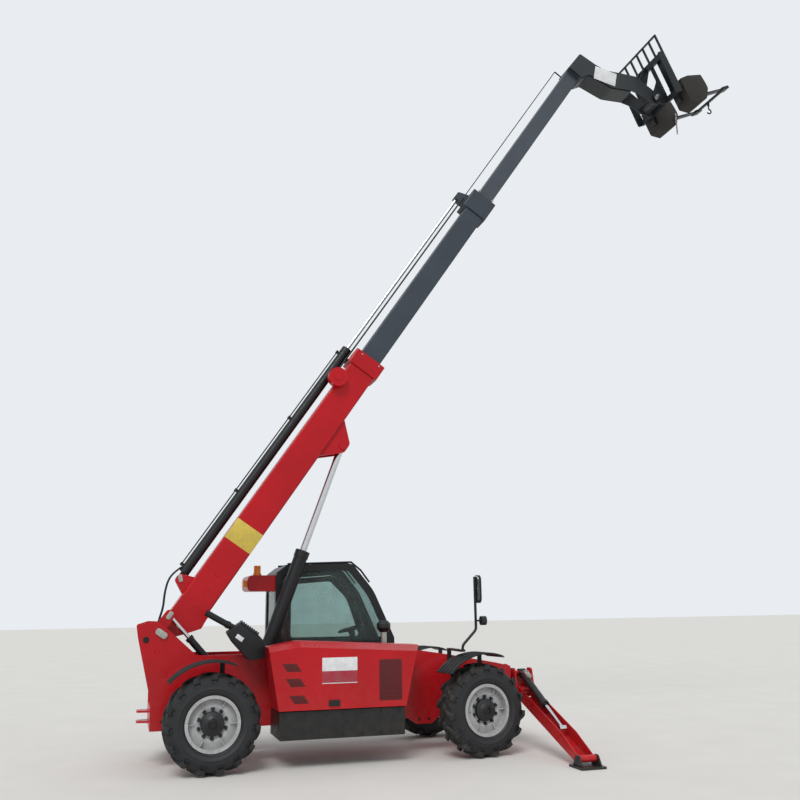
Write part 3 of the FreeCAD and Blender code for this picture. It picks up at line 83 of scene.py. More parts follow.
def machine(x, y, z):
    """A point measured from the rear axle on the ground, in millimetres."""
    return Vector((x * MM + REAR_AXLE, y * MM, z * MM))


def from_pivot(pivot, along, u, y, v):
    """A point in millimetres from a pivot: u along a direction, v square to it, y to the left."""
    above = Vector((-along.z, 0, along.x))
    return pivot + u * MM * along + v * MM * above + Vector((0, y * MM, 0))


def boom(u, y, v):
    """A point of the boom at rest."""
    return from_pivot(BOOM_FOOT, BOOM_ALONG, u, y, v)


def carriage(u, y, v):
    """A point of the carriage at rest."""
    return from_pivot(CARRIAGE_PIVOT, CARRIAGE_ALONG, u, y, v)


def shift(x, y, z):
    return Matrix.Translation((x, y, z))


def turn(degrees, axis):
    return Matrix.Rotation(math.radians(degrees), 4, axis)


def facing(place, along, outward):
    """A matrix that lays a piece's X along one direction and its Z along another, at a place."""
    z_axis = Vector(outward).normalized()
    x_axis = (Vector(along) - Vector(along).project(z_axis)).normalized()
    axes = Matrix((x_axis, z_axis.cross(x_axis), z_axis)).transposed().to_4x4()
    return Matrix.Translation(place) @ axes


def against(side, place, along=LEVEL):
    """Lays a piece flat against the right or the left side, its X along a direction."""
    return facing(place, along, OUTWARD[side])


def steer_angle(corner):
    """How far a wheel stands turned about Z, from its axle's direction."""
    axis = JOINTS["spin_" + corner]["axis"]
    return math.atan(-axis[0] / axis[1])


# Nodes of a material

def linear(hex_colour):
    """An sRGB hex colour as the linear values that a shader takes."""
    channels = [int(hex_colour[index:index + 2], 16) / 255 for index in (1, 3, 5)]
    return tuple(c / 12.92 if c <= 0.04045 else ((c + 0.055) / 1.055) ** 2.4 for c in channels) + (1.0,)


def tint(name):
    """One of the colour settings, as the four values that a shader takes."""
    return tuple(getattr(bpy.context.scene.telehandler_colours, name)) + (1.0,)


def shaded(colour, share):
    """A colour made darker or paler by a share."""
    return tuple(min(1.0, channel * share) for channel in colour[:3]) + (1.0,)


def fill(tree, socket, value):
    """Links a socket to another node's output, or gives it a number or a colour."""
    if isinstance(value, bpy.types.NodeSocket):
        tree.links.new(value, socket)
    else:
        socket.default_value = value


def add(tree, kind, *sources, **settings):
    """Adds a node. Sources go to its first sockets in order; settings name sockets or properties."""
    node = tree.nodes.new(kind)
    for socket, source in zip(node.inputs, sources):
        fill(tree, socket, source)
    for key, value in settings.items():
        name = key.replace("_", " ")
        if name in node.inputs:
            fill(tree, node.inputs[name], value)
        else:
            setattr(node, key, value)
    return node


def new_material(name):
    """A material with its tree and the object's own coordinates."""
    material = bpy.data.materials.new(name)
    material.use_nodes = True
    tree = material.node_tree
    return material, tree, add(tree, "ShaderNodeTexCoord").outputs["Object"]


def surface(material, colour, roughness, relief=None, **sockets):
    """Fills in a material's shader. relief is a height, its strength and its depth in millimetres."""
    tree = material.node_tree
    if relief:
        height, strength, depth = relief
        sockets["Normal"] = add(tree, "ShaderNodeBump", Height=height, Strength=strength,
                                Distance=depth * MM).outputs["Normal"]
    for key, value in {"Base_Color": colour, "Roughness": roughness, **sockets}.items():
        fill(tree, tree.nodes["Principled BSDF"].inputs[key.replace("_", " ")], value)
    return material


def noise(tree, at, size_mm, detail=3.0, roughness=0.55):
    """A noise whose blotches are about size_mm across."""
    return add(tree, "ShaderNodeTexNoise", at, Scale=1000.0 / size_mm, Detail=detail,
               Roughness=roughness).outputs["Fac"]


def ranged(tree, value, low, high, to_low, to_high):
    """A value whose run from low to high becomes a run from to_low to to_high."""
    return add(tree, "ShaderNodeMapRange", value, From_Min=low, From_Max=high, To_Min=to_low,
               To_Max=to_high).outputs["Result"]


def patches(tree, at, size_mm, detail, to_low, to_high, low=0.3, high=0.7, roughness=0.55):
    """A noise that runs from to_low to to_high from patch to patch."""
    return ranged(tree, noise(tree, at, size_mm, detail, roughness), low, high, to_low, to_high)


def step(tree, value, border, half_width, below=0.0, above=1.0):
    """One number below a border and another above it."""
    return ranged(tree, value, border - half_width, border + half_width, below, above)


def mixed(tree, share, first, second):
    """Two colours mixed; each is a colour or another node's output."""
    return add(tree, "ShaderNodeMixRGB", share, first, second).outputs["Color"]


def varied(tree, share, colour, darker, paler):
    """Two shades of one colour, mixed."""
    return mixed(tree, share, shaded(colour, darker), shaded(colour, paler))


def maths(tree, operation, *values):
    return add(tree, "ShaderNodeMath", *values, operation=operation).outputs["Value"]


def axis_of(tree, at, axis):
    return add(tree, "ShaderNodeSeparateXYZ", at).outputs[axis]


def dust_share(tree, at, top, most):
    """How much yard dust lies on a surface: most at the ground, none above the height top in metres."""
    low = ranged(tree, axis_of(tree, at, "Z"), top, 0.1, 0.0, most)
    return maths(tree, "MULTIPLY", low, patches(tree, at, 90.0, 6.0, 0.2, 1.0, 0.35, 0.65, 0.65))


def around_wheel(tree, at, corner):
    """Distance from a wheel's own axis in metres, by a mapping that centres and turns the pattern."""
    local = add(tree, "ShaderNodeMapping", at, vector_type="TEXTURE",
                Location=JOINTS["spin_" + corner]["pos_m"],
                Rotation=(0.0, 0.0, steer_angle(corner))).outputs["Vector"]
    flat = add(tree, "ShaderNodeVectorMath", local, (1.0, 0.0, 1.0), operation="MULTIPLY")
    return add(tree, "ShaderNodeVectorMath", flat.outputs["Vector"], operation="LENGTH").outputs["Value"]


# Kinds of finish

DUST = linear("#8A8073")
EARTH = linear("#6E675B")
ZINC_GREY = linear("#B4B3AC")
SIGN_WHITE, SIGN_RED = linear("#E6E8EA"), linear("#A8203A")


def enamel(name, colour, roughness, coat):
    """Sprayed two-pack enamel on plate: a thin clear gloss with orange peel, faded in broad patches and
    dusty low down. Real orange peel is 2 to 4 mm; it is drawn 14 mm so that it shows."""
    material, tree, at = new_material(name)
    paint = varied(tree, patches(tree, at, 600.0, 4.0, 0.0, 1.0), colour, 0.86, 1.07)
    return surface(material, mixed(tree, dust_share(tree, at, 1.5, 0.12), paint, DUST),
                   patches(tree, at, 60.0, 5.0, roughness - 0.06, roughness + 0.14),
                   (noise(tree, at, 14.0, 2.0), 0.18, 0.6),
                   Specular_IOR_Level=0.25, Coat_Weight=coat, Coat_Roughness=0.12)


def satin(name, colour, roughness, grain, depth, dust=0.1):
    """Satin paint or moulded plastic with a fine grain, scuffed paler in spots. The real grain is
    about 1 mm; it is drawn 6 to 20 mm so that it shows."""
    material, tree, at = new_material(name)
    body = varied(tree, patches(tree, at, 35.0, 8.0, 0.0, 0.5, 0.56, 0.72, 0.7), colour, 1.0, 1.9)
    return surface(material, mixed(tree, dust_share(tree, at, 1.3, dust), body, DUST),
                   patches(tree, at, 80.0, 3.0, roughness - 0.08, roughness + 0.12),
                   (noise(tree, at, grain, 2.0), depth, 0.5), Specular_IOR_Level=0.35)


def plated(name, colour, roughness, streak_mm, tarnish):
    """Chrome on a rod or zinc on a plate: metal with fine polishing streaks and a little tarnish."""
    material, tree, at = new_material(name)
    spots = patches(tree, at, 45.0, 6.0, 0.0, tarnish, 0.45, 0.75, 0.7)
    streaks = noise(tree, at, streak_mm, 4.0, 0.7)
    return surface(material, varied(tree, spots, colour, 1.0, 0.55),
                   ranged(tree, streaks, 0.3, 0.7, roughness * 0.6, roughness * 1.5),
                   (streaks, 0.08, 0.2), Metallic=1.0)


def tinted_glass(name, colour):
    """Green-tinted toughened glass, 8 mm, with a film of dust that dulls it in patches."""
    material, tree, at = new_material(name)
    film = patches(tree, at, 220.0, 5.0, 0.0, 0.16, 0.35)
    return surface(material, mixed(tree, film, colour, DUST), patches(tree, at, 150.0, 3.0, 0.0, 0.06),
                   Transmission_Weight=0.94, IOR=1.12)


def vinyl(name, colour):
    """Embossed seat vinyl: leather grain of about 2 mm, drawn 8 mm, with a soft sheen."""
    material, tree, at = new_material(name)
    cells = add(tree, "ShaderNodeTexVoronoi", at, Scale=125.0).outputs["Distance"]
    return surface(material, varied(tree, patches(tree, at, 120.0, 3.0, 0.0, 1.0), colour, 0.8, 1.15),
                   ranged(tree, cells, 0.0, 0.6, 0.42, 0.58), (cells, 0.4, 1.0))


def lens(name, colour, roughness):
    """Moulded lamp lens: clear acrylic over a fluted reflector, flutes of 12 mm."""
    material, tree, at = new_material(name)
    flutes = add(tree, "ShaderNodeTexWave", at, Scale=26.0, Distortion=0.0,
                 bands_direction="Y").outputs["Fac"]
    return surface(material, varied(tree, flutes, colour, 0.75, 1.2), roughness, (flutes, 0.5, 1.5),
                   Transmission_Weight=0.25, Coat_Weight=0.6)


def perforated(name, colour):
    """Punched sheet behind the hood's slits: holes of 9 mm drawn near black as painted shade, in red paint that
    comes darkened as painted shade.
    """
    material, tree, at = new_material(name)
    upright = add(tree, "ShaderNodeMapping", at, Rotation=(math.radians(90), 0.0, 0.0),
                  Scale=(1.0, 1.0, 0.001)).outputs["Vector"]
    cells = add(tree, "ShaderNodeTexVoronoi", upright, Scale=72.0, Randomness=0.0).outputs["Distance"]
    holes = step(tree, cells, 0.33, 0.03, 1.0, 0.0)
    # The holes are painted shade: near black where the dark behind the sheet shows through.
    return surface(material, mixed(tree, holes, colour, linear("#0C0A0B")), 0.6, (holes, 0.6, 1.5))


def printed_sheet(name, upper, lower, top, foot):
    """Printed sheet, left blank: a band of another colour between two heights, faded by the sun."""
    material, tree, at = new_material(name)
    height = axis_of(tree, at, "Z")
    band = maths(tree, "MULTIPLY", step(tree, height, top, 0.001, 1.0, 0.0),
                 step(tree, height, foot, 0.001))
    fade = patches(tree, at, 70.0, 4.0, 0.0, 0.25, 0.35)
    return surface(material, mixed(tree, fade, mixed(tree, band, upper, lower), DUST),
                   patches(tree, at, 30.0, 3.0, 0.3, 0.5))


# Finishes of single nodes

HUB_PAINT_RADIUS = 0.142
HEAD_PLATES_HALF = 0.162
SECTION_THREE_TUBE_END = 11560
WORK_LAMP_FROM = 2000
PRE_CLEANER_BOWL_FOOT = 1.58


def wheel_paint(corner, paint, hub_paint):
    """Pale satin wheel paint, with the hub and its nuts black, and road film towards the edge."""
    material, tree, at = new_material("Wheel paint " + corner)
    radius = around_wheel(tree, at, corner)
    pale = varied(tree, patches(tree, at, 140.0, 5.0, 0.0, 1.0), paint, 0.82, 1.05)
    film = maths(tree, "MULTIPLY", ranged(tree, radius, 0.2, 0.33, 0.15, 0.6),
                 patches(tree, at, 40.0, 7.0, 0.0, 1.0, 0.4, 0.7, 0.7))
    hub = step(tree, radius, HUB_PAINT_RADIUS, 0.002, 1.0, 0.0)
    return surface(material, mixed(tree, hub, mixed(tree, film, pale, DUST), hub_paint),
                   patches(tree, at, 50.0, 3.0, 0.38, 0.58), (noise(tree, at, 12.0), 0.2, 0.4))


def tyre_rubber(corner, rubber):
    """Vulcanised tread rubber: near black on the wall, and dry earth ground into the lugs."""
    material, tree, at = new_material("Tread rubber " + corner)
    radius = around_wheel(tree, at, corner)
    tread = ranged(tree, radius, 0.49, 0.6, 0.0, 0.5 if corner.startswith("front") else 0.22)
    earth = maths(tree, "MULTIPLY", tread, patches(tree, at, 55.0, 8.0, 0.0, 1.0, 0.42, 0.66, 0.7))
    wall = varied(tree, patches(tree, at, 90.0, 5.0, 0.0, 0.35, 0.4), rubber, 1.0, 2.6)
    return surface(material, mixed(tree, earth, wall, EARTH),
                   ranged(tree, radius, 0.34, 0.56, 0.55, 0.85), (noise(tree, at, 10.0, 4.0), 0.5, 1.2))


def head_enamel(slate, charcoal):
    """Section three: slate on its tube, charcoal on the head's wide plates and past the tube's end."""
    material, tree, at = new_material("Slate and charcoal enamel")
    across = maths(tree, "ABSOLUTE", axis_of(tree, at, "Y"))
    along = add(tree, "ShaderNodeVectorMath", at, tuple(BOOM_ALONG), operation="DOT_PRODUCT")
    border = boom(SECTION_THREE_TUBE_END, 0, 0).dot(BOOM_ALONG)
    head = maths(tree, "MAXIMUM", step(tree, across, HEAD_PLATES_HALF, 0.002),
                 step(tree, along.outputs["Value"], border, 0.003))
    faded = patches(tree, at, 400.0, 4.0, 0.0, 1.0)
    return surface(material, mixed(tree, head, varied(tree, faded, slate, 0.88, 1.1),
                                   varied(tree, faded, charcoal, 0.8, 1.15)),
                   patches(tree, at, 60.0, 5.0, 0.32, 0.5), (noise(tree, at, 14.0, 2.0), 0.18, 0.6))


def lamp_finish(amber, black):
    """The beacon and the rear lamp in amber acrylic, the work lamp's housing in black plastic."""
    material, tree, at = new_material("Amber acrylic and black housing")
    housing = step(tree, axis_of(tree, at, "X"), machine(WORK_LAMP_FROM, 0, 0).x, 0.01)
    glow = varied(tree, noise(tree, at, 20.0), amber, 0.8, 1.2)
    return surface(material, mixed(tree, housing, glow, black), 0.25, (noise(tree, at, 8.0), 0.2, 0.4))


def stack_finish(black):
    """The air intake: a bright zinc pipe up to the black plastic bowl of the pre-cleaner."""
    material, tree, at = new_material("Zinc pipe and black bowl")
    pipe = step(tree, axis_of(tree, at, "Z"), PRE_CLEANER_BOWL_FOOT, 0.002, 1.0, 0.0)
    return surface(material, mixed(tree, pipe, black, ZINC_GREY), patches(tree, at, 25.0, 3.0, 0.3, 0.5),
                   (noise(tree, at, 9.0), 0.25, 0.4), Metallic=pipe)


# All materials

BLACK_NODES = ("cab_shell", "cab_door", "lift_barrel", "comp_barrel", "tele_barrel", "tilt_barrel",
               "ram_barrel_right", "ram_barrel_left", "mirror_mast")

# What an added piece is made of: its material, and the slot of the record that it belongs to
RED = ("Red enamel", "red_paint")
STEEL = ("Satin black paint on steel", "black_steel")
PLASTIC = ("Moulded black polyethylene", "black_plastic")
CHROME = ("Hard chrome", "rod_chrome")
ZINC = ("Zinc-plated steel", "rod_chrome")
VINYL = ("Red seat vinyl", "seat_vinyl")
AMBER = ("Amber acrylic", "lamp_plastic")
CLEAR = ("Clear acrylic", "window_glass")
RUSTY = ("Rusty black sheet", "black_steel")
RUBBER = ("Braided rubber hose", "black_plastic")
# The punched sheet's material: red enamel drawn darker as painted shade.
PUNCHED = ("Punched sheet, red enamel", "red_paint")
HOOD_SIGN = ("Printed hood plate, blank", "rim_paint")
YELLOW_FILM = ("Yellow film, blank", "rim_paint")
WHITE_FILM = ("White film, blank", "rim_paint")


def slot_materials():
    """The finish of each of the record's slots."""
    return {
        "red_paint": enamel(RED[0], tint("body_red"), 0.3, 0.12),
        "grey_blue_paint": enamel("Slate enamel", tint("boom_slate"), 0.36, 0.05),
        "dark_grey_paint": enamel("Charcoal enamel", tint("carriage_grey"), 0.42, 0.05),
        "black_steel": satin(STEEL[0], tint("black"), 0.4, 11.0, 0.2),
        "black_plastic": satin(PLASTIC[0], tint("black"), 0.55, 8.0, 0.5),
        "rod_chrome": plated(CHROME[0], linear("#D4D6D8"), 0.12, 30.0, 0.35),
        "window_glass": tinted_glass("Tinted toughened glass", tint("glass")),
        "seat_vinyl": vinyl(VINYL[0], tint("seat")),
        "lamp_plastic": lens(AMBER[0], tint("beacon"), 0.12),
    }


def node_materials():
    """The finish of each node that has one of its own."""
    made = {"section_three": head_enamel(tint("boom_slate"), tint("carriage_grey")),
            "lamps": lamp_finish(tint("beacon"), tint("black")),
            "pre_cleaner": stack_finish(tint("black"))}
    for corner in CORNERS:
        made["rim_" + corner] = wheel_paint(corner, tint("wheel"), tint("black"))
        made["tyre_" + corner] = tyre_rubber(corner, tint("rubber"))
    return made


def piece_materials():
    """The materials that only added pieces have."""
    yellow = tint("plate_yellow")
    plated(ZINC[0], ZINC_GREY, 0.34, 16.0, 0.6)
    lens(CLEAR[0], linear("#C9CED2"), 0.08)
    satin(RUSTY[0], linear("#2A2723"), 0.6, 20.0, 0.5, 0.0)
    satin(RUBBER[0], linear("#17181A"), 0.6, 6.0, 0.5, 0.3)
    # The body red at half its brightness: painted shade on the sunken punched sheet.
    perforated(PUNCHED[0], shaded(tint("body_red"), 0.5))
    printed_sheet(HOOD_SIGN[0], SIGN_WHITE, SIGN_RED, 1.145, 1.004)
    printed_sheet(YELLOW_FILM[0], yellow, yellow, 1.0, 0.0)
    printed_sheet(WHITE_FILM[0], SIGN_WHITE, SIGN_WHITE, 1.0, 0.0)


def finish_nodes():
    """Gives every node of the solid model its own finish or that of its slot."""
    of_slot, of_node = slot_materials(), node_materials()
    piece_materials()
    slots = {sub["node"]: sub["material_slot"] for sub in frame["record"]["subparts"]}
    for name in BLACK_NODES:
        of_node[name] = of_slot["black_steel"]
    for name, node in frame["nodes"].items():
        node.data.materials.clear()
        node.data.materials.append(of_node.get(name) or of_slot[slots[name]])


# Shapes

def bevelled(shape, items, offset, affect="EDGES", segments=2):
    bmesh.ops.bevel(shape, geom=items, offset=offset, affect=affect, segments=segments, profile=0.5,
                    material=-1)


def plate(corners, thickness, rounding=0.0, edge=0.0):
    """A plate in the XY plane from z = 0 up, with its corners rounded and its front edge eased."""
    shape = bmesh.new()
    shape.faces.new([shape.verts.new((a, b, 0)) for a, b in corners])
    if rounding:
        bevelled(shape, shape.verts[:], rounding, "VERTICES", 5)
    made = bmesh.ops.extrude_face_region(shape, geom=shape.faces[:])
    top = [item for item in made["geom"] if isinstance(item, bmesh.types.BMVert)]
    bmesh.ops.translate(shape, verts=top, vec=(0, 0, thickness))
    if edge:
        rim = [item for item in shape.edges
               if all(abs(vert.co.z - thickness) < 1e-6 for vert in item.verts)]
        bevelled(shape, rim, edge)
    bmesh.ops.recalc_face_normals(shape, faces=shape.faces[:])
    return shape


def slab(length, width, thickness, rounding=0.0, edge=0.0):
    """A rectangular plate about the origin."""
    a, b = length / 2, width / 2
    return plate([(-a, -b), (a, -b), (a, b), (-a, b)], thickness, rounding, edge)


def turned(profile, steps, closed=False):
    """A body turned about Z from a profile of (radius, height) points."""
    shape = bmesh.new()
    verts = [shape.verts.new((radius, 0, height)) for radius, height in profile]
    for first, second in zip(verts, verts[1:] + (verts[:1] if closed else [])):
        shape.edges.new((first, second))
    bmesh.ops.spin(shape, geom=shape.verts[:] + shape.edges[:], axis=(0, 0, 1), cent=(0, 0, 0),
                   angle=2 * math.pi, steps=steps, use_merge=True)
    bmesh.ops.remove_doubles(shape, verts=shape.verts[:], dist=1e-6)
    bmesh.ops.recalc_face_normals(shape, faces=shape.faces[:])
    return shape


def tube(outside, inside, start, end):
    """An open pipe about Z from one height to another."""
    return turned([(inside, start), (outside, start), (outside, end), (inside, end)], 28, closed=True)


def ring(radius, thickness):
    """A thin raised ring about Z, half sunk in z = 0."""
    profile = [(radius + thickness * math.cos(angle), thickness * math.sin(angle))
               for angle in (math.radians(60 * index) for index in range(6))]
    return turned(profile, 32, closed=True)


def hexagon_head(width, height):
    """A bolt's head on its washer, standing on z = 0."""
    shape = bmesh.new()
    washer = bmesh.ops.create_cone(shape, cap_ends=True, segments=20, radius1=width * 0.72,
                                   radius2=width * 0.72, depth=height * 0.25)
    bmesh.ops.translate(shape, verts=washer["verts"], vec=(0, 0, height * 0.125))
    head = bmesh.ops.create_cone(shape, cap_ends=True, segments=6, radius1=width * 0.577,
                                 radius2=width * 0.5, depth=height * 0.8)
    bmesh.ops.translate(shape, verts=head["verts"], vec=(0, 0, height * 0.6))
    return shape


def bolt():
    """The head of the machine's usual bolt."""
    width = sizes().bolt_width
    return hexagon_head(width, width * 0.6)


def rod(start, end, radius, segments=16):
    """A round bar from one point to another."""
    shape = bmesh.new()
    bmesh.ops.create_cone(shape, cap_ends=True, segments=segments, radius1=radius, radius2=radius,
                          depth=(end - start).length)
    swing = Vector((0, 0, 1)).rotation_difference(end - start).to_matrix().to_4x4()
    shape.transform(Matrix.Translation((start + end) / 2) @ swing)
    return shape


def bent_rod(bend, radius, degrees):
    """A round rod bent about Y, from a point on X and down from there."""
    shape = bmesh.new()
    circle = bmesh.ops.create_circle(shape, segments=12, radius=radius)
    bmesh.ops.translate(shape, verts=circle["verts"], vec=(bend, 0, 0))
    bmesh.ops.spin(shape, geom=shape.verts[:] + shape.edges[:], axis=(0, 1, 0), cent=(0, 0, 0),
                   angle=math.radians(degrees), steps=24)
    bmesh.ops.holes_fill(shape, edges=[edge for edge in shape.edges if edge.is_boundary], sides=0)
    bmesh.ops.recalc_face_normals(shape, faces=shape.faces[:])
    return shape


def bent_tube(points, radius):
    """A tube along straight runs with a ball at each bend."""
    runs = [(rod(start, end, radius), Matrix()) for start, end in zip(points, points[1:])]
    balls = []
    for point in points[1:-1]:
        ball = bmesh.new()
        bmesh.ops.create_uvsphere(ball, u_segments=16, v_segments=8, radius=radius)
        balls.append((ball, Matrix.Translation(point)))
    return joined(runs + balls)


def placed(name, data):
    """A new object in the scene."""
    item = bpy.data.objects.new(name, data)
    bpy.context.scene.collection.objects.link(item)
    return item


def joined(parts):
    """One shape of several, each with the matrix that puts it in its place."""
    shape = bmesh.new()
    for part, placement in parts:
        part.transform(placement)
        if placement.determinant() < 0:
            bmesh.ops.reverse_faces(part, faces=part.faces[:])
        mesh = bpy.data.meshes.new("part")
        part.to_mesh(mesh)
        part.free()
        shape.from_mesh(mesh)
        bpy.data.meshes.remove(mesh)
    return shape


def make_piece(name, body, made_of, parts, smooth_angle=35.0):
    """Joins parts to an object that rides on a body; made_of is its material and its slot, and the slot is not
    used.
    """
    material, slot = made_of
    mesh = bpy.data.meshes.new(name)
    shape = joined(parts)
    shape.to_mesh(mesh)
    shape.free()
    piece = placed(name, mesh)
    mesh.materials.append(bpy.data.materials[material])
    mesh.shade_smooth()
    mesh.set_sharp_from_angle(angle=math.radians(smooth_angle))
    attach(piece, body)
    return piece


def sizes():
    return bpy.context.scene.telehandler_sizes


# Wheels

TYRE_WALL = (
    # radius, and how far it lies in from the widest place, in metres
    (0.36, 0.06), (0.305, 0.08), (0.305, 0.045), (0.330, 0.043), (0.345, 0.028), (0.352, 0.022),
    (0.358, 0.022), (0.362, 0.014), (0.400, 0.004), (0.404, 0.0005), (0.412, 0.0005), (0.416, 0.003),
    (0.440, 0.001), (0.470, 0.006), (0.500, 0.016), (0.525, 0.030), (0.543, 0.055))
LUG_STATIONS = (
    # y from the tyre's middle in mm, lowest and top radius below the tread's, share of the sweep, width
    (196.0, 118.0, 72.0, 0.0, 1.15), (190.0, 112.0, 16.0, 0.02, 1.15), (150.0, 100.0, 6.0, 0.22, 1.08),
    (70.0, 84.0, 1.0, 0.6, 0.94), (-14.0, 60.0, 0.4, 1.0, 0.8))
WHEEL_NUTS = 10
RIM_WEBS = 6
WEB_OUTLINE = ((0.196, 0.098), (0.292, 0.074), (0.292, 0.124), (0.212, 0.120))
GUARD_OUTSIDE = 0.717
GUARD_FROM, GUARD_TO = 69.0, 137.0
GUARD_RIBS = (-0.190, -0.100, -0.010, 0.080, 0.170)


def carcass(radius, half):
    """The tyre's carcass about Z, with bead, ribs on the wall and a crowned tread."""
    upper = [(r, half - inset) for r, inset in TYRE_WALL]
    upper += [(radius - 0.036, half - 0.09), (radius - 0.033, half - 0.14)]
    lower = [(r, -y) for r, y in reversed(upper)]
    return turned(upper + [(radius - 0.032, 0.0)] + lower, 96, closed=True)


def lug(side, radius):
    """One tread bar, extruded from station to station and eased along its edges."""
    size = sizes()
    shape = bmesh.new()
    section = None
    for y, low, top, along, widen in LUG_STATIONS:
        swept = math.radians(size.lug_sweep) * along
        outer, inner = radius - top * MM, radius - low * MM
        half = size.lug_width * widen / 2 / outer
        ends = ((inner, -half), (inner, half), (outer, 0.8 * half), (outer, -0.8 * half))
        corners = [Vector((r * math.sin(swept + spread), side * y * MM, r * math.cos(swept + spread)))
                   for r, spread in ends]
        if section is None:
            section = shape.faces.new([shape.verts.new(corner) for corner in corners])
            continue
        section = bmesh.ops.extrude_discrete_faces(shape, faces=[section])["faces"][0]
        for vert, corner in zip(section.verts, corners):
            vert.co = corner
    bmesh.ops.remove_doubles(shape, verts=shape.verts[:], dist=1e-6)
    bmesh.ops.recalc_face_normals(shape, faces=shape.faces[:])
    bevelled(shape, shape.edges[:], size.lug_easing)
    return shape


def wheel_matrix(corner):
    """A wheel's own frame: Y along its axle, pointing in on the right side and the left."""
    half_turn = math.pi if corner.endswith("left") else 0.0
    return (Matrix.Translation(JOINTS["spin_" + corner]["pos_m"])
            @ Matrix.Rotation(steer_angle(corner) + half_turn, 4, "Z"))


def make_tyres():
    """A lugged tyre in place of each plain one."""
    low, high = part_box("tyre_rear_right")
    radius, half = (high[2] - low[2]) / 2, (high[1] - low[1]) / 2
    count = sizes().lug_count
    for corner in CORNERS:
        wheel = wheel_matrix(corner)
        parts = [(carcass(radius, half), wheel @ turn(90, "X"))]
        for index in range(count):
            for side in SIDES:
                angle = 360 * (index + 0.5 * (side == LEFT)) / count
                parts.append((lug(side, radius), wheel @ turn(angle, "Y")))
        piece = make_piece("lugged_tyre_" + corner, "wheel_" + corner,
                           ("Tread rubber " + corner, "tyre_rubber"), parts, 40.0)
        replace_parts(piece, "tyre_" + corner)


def make_wheel_trim():
    """Black wheel nuts round each hub, and the webs that stiffen the rim's disc."""
    nut_place = facing((0, -0.092, 0.170), LEVEL, OUTWARD[RIGHT])
    web_place = facing((-0.005, 0, 0), (0, 0, 1), LEVEL)
    for corner in CORNERS:
        wheel = wheel_matrix(corner)
        make_piece("wheel_nuts_" + corner, "wheel_" + corner, STEEL, [
            (hexagon_head(0.034, 0.034), wheel @ turn(360 * index / WHEEL_NUTS, "Y") @ nut_place)
            for index in range(WHEEL_NUTS)])
        make_piece("rim_webs_" + corner, "wheel_" + corner, ("Wheel paint " + corner, "rim_paint"), [
            (plate(WEB_OUTLINE, 0.010), wheel @ turn(360 * (index + 0.5) / RIM_WEBS, "Y") @ web_place)
            for index in range(RIM_WEBS)])


def make_guard_ribs():
    """Pressed ribs along each mudguard."""
    for corner in CORNERS:
        mirror = Matrix.Scale(-1 if corner.endswith("left") else 1, 4, (0, 1, 0))
        guard = (Matrix.Translation(JOINTS["spin_" + corner]["pos_m"])
                 @ Matrix.Rotation(steer_angle(corner), 4, "Z") @ mirror)
        make_piece("guard_ribs_" + corner, "knuckle_" + corner, PLASTIC, [
            (bent_rod(GUARD_OUTSIDE, 0.010, GUARD_FROM - GUARD_TO),
             guard @ shift(0, y, 0) @ turn(-GUARD_FROM, "Y")) for y in GUARD_RIBS])


# Seat

def cushion(length, width, height, channels):
    """A crowned pad on z = 0 whose sides pull in, with sewn channels across it."""
    shape = bmesh.new()
    bmesh.ops.create_cube(shape, size=1.0)
    bmesh.ops.subdivide_edges(shape, edges=shape.edges[:], cuts=15, use_grid_fill=True)
    for vert in shape.verts:
        a, b, c = vert.co * 2
        round_a, round_b = 1 - abs(a) ** 6, 1 - abs(b) ** 6
        crown = 0.5 + 0.5 * max(0.0, round_a * round_b) ** 0.35
        pull = 1 - 0.05 * (1 - c * c)
        vert.co = (a * length / 2 * pull, b * width / 2 * pull, (c + 1) / 2 * height * crown)
    for vert in shape.verts:
        if vert.co.z > height * 0.45:
            nearest = min(abs(vert.co.x - place * length) for place in channels)
            vert.co.z -= height * 0.1 * math.exp(-(nearest / 0.012) ** 2)
    bmesh.ops.recalc_face_normals(shape, faces=shape.faces[:])
    return shape


def soft_piece(name, pad, placement):
    """A vinyl pad, rounded by one level of subdivision."""
    piece = make_piece(name, "chassis", VINYL, [(pad, placement)], 180.0)
    smooth = piece.modifiers.new("Rounding", "SUBSURF")
    smooth.levels = smooth.render_levels = 1


def make_seat():
    """The operator's seat: a pedestal, a cushion and a back, in place of the plain block."""
    low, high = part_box("seat")
    foot = Matrix.Translation((REAR_AXLE, (low[1] + high[1]) / 2, low[2]))
    pedestal = make_piece("seat_pedestal", "chassis", PLASTIC, [
        (slab(0.36, 0.36, 0.34, 0.04, 0.012), foot @ shift(1.51, 0, 0)),
        (slab(0.44, 0.46, 0.03, 0.05, 0.01), foot @ shift(1.53, 0, 0.34))])
    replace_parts(pedestal, "seat")
    soft_piece("seat_cushion", cushion(0.50, 0.46, 0.12, (-0.22, 0.0, 0.22)),
               foot @ shift(1.545, 0, 0.371) @ turn(-3, "Y"))
    soft_piece("seat_back", cushion(0.60, 0.44, 0.115, (-0.25, -0.05, 0.15)),
               foot @ shift(1.225, 0, 0.80) @ turn(83, "Y") @ shift(0, 0, -0.115))


# Small steel parts

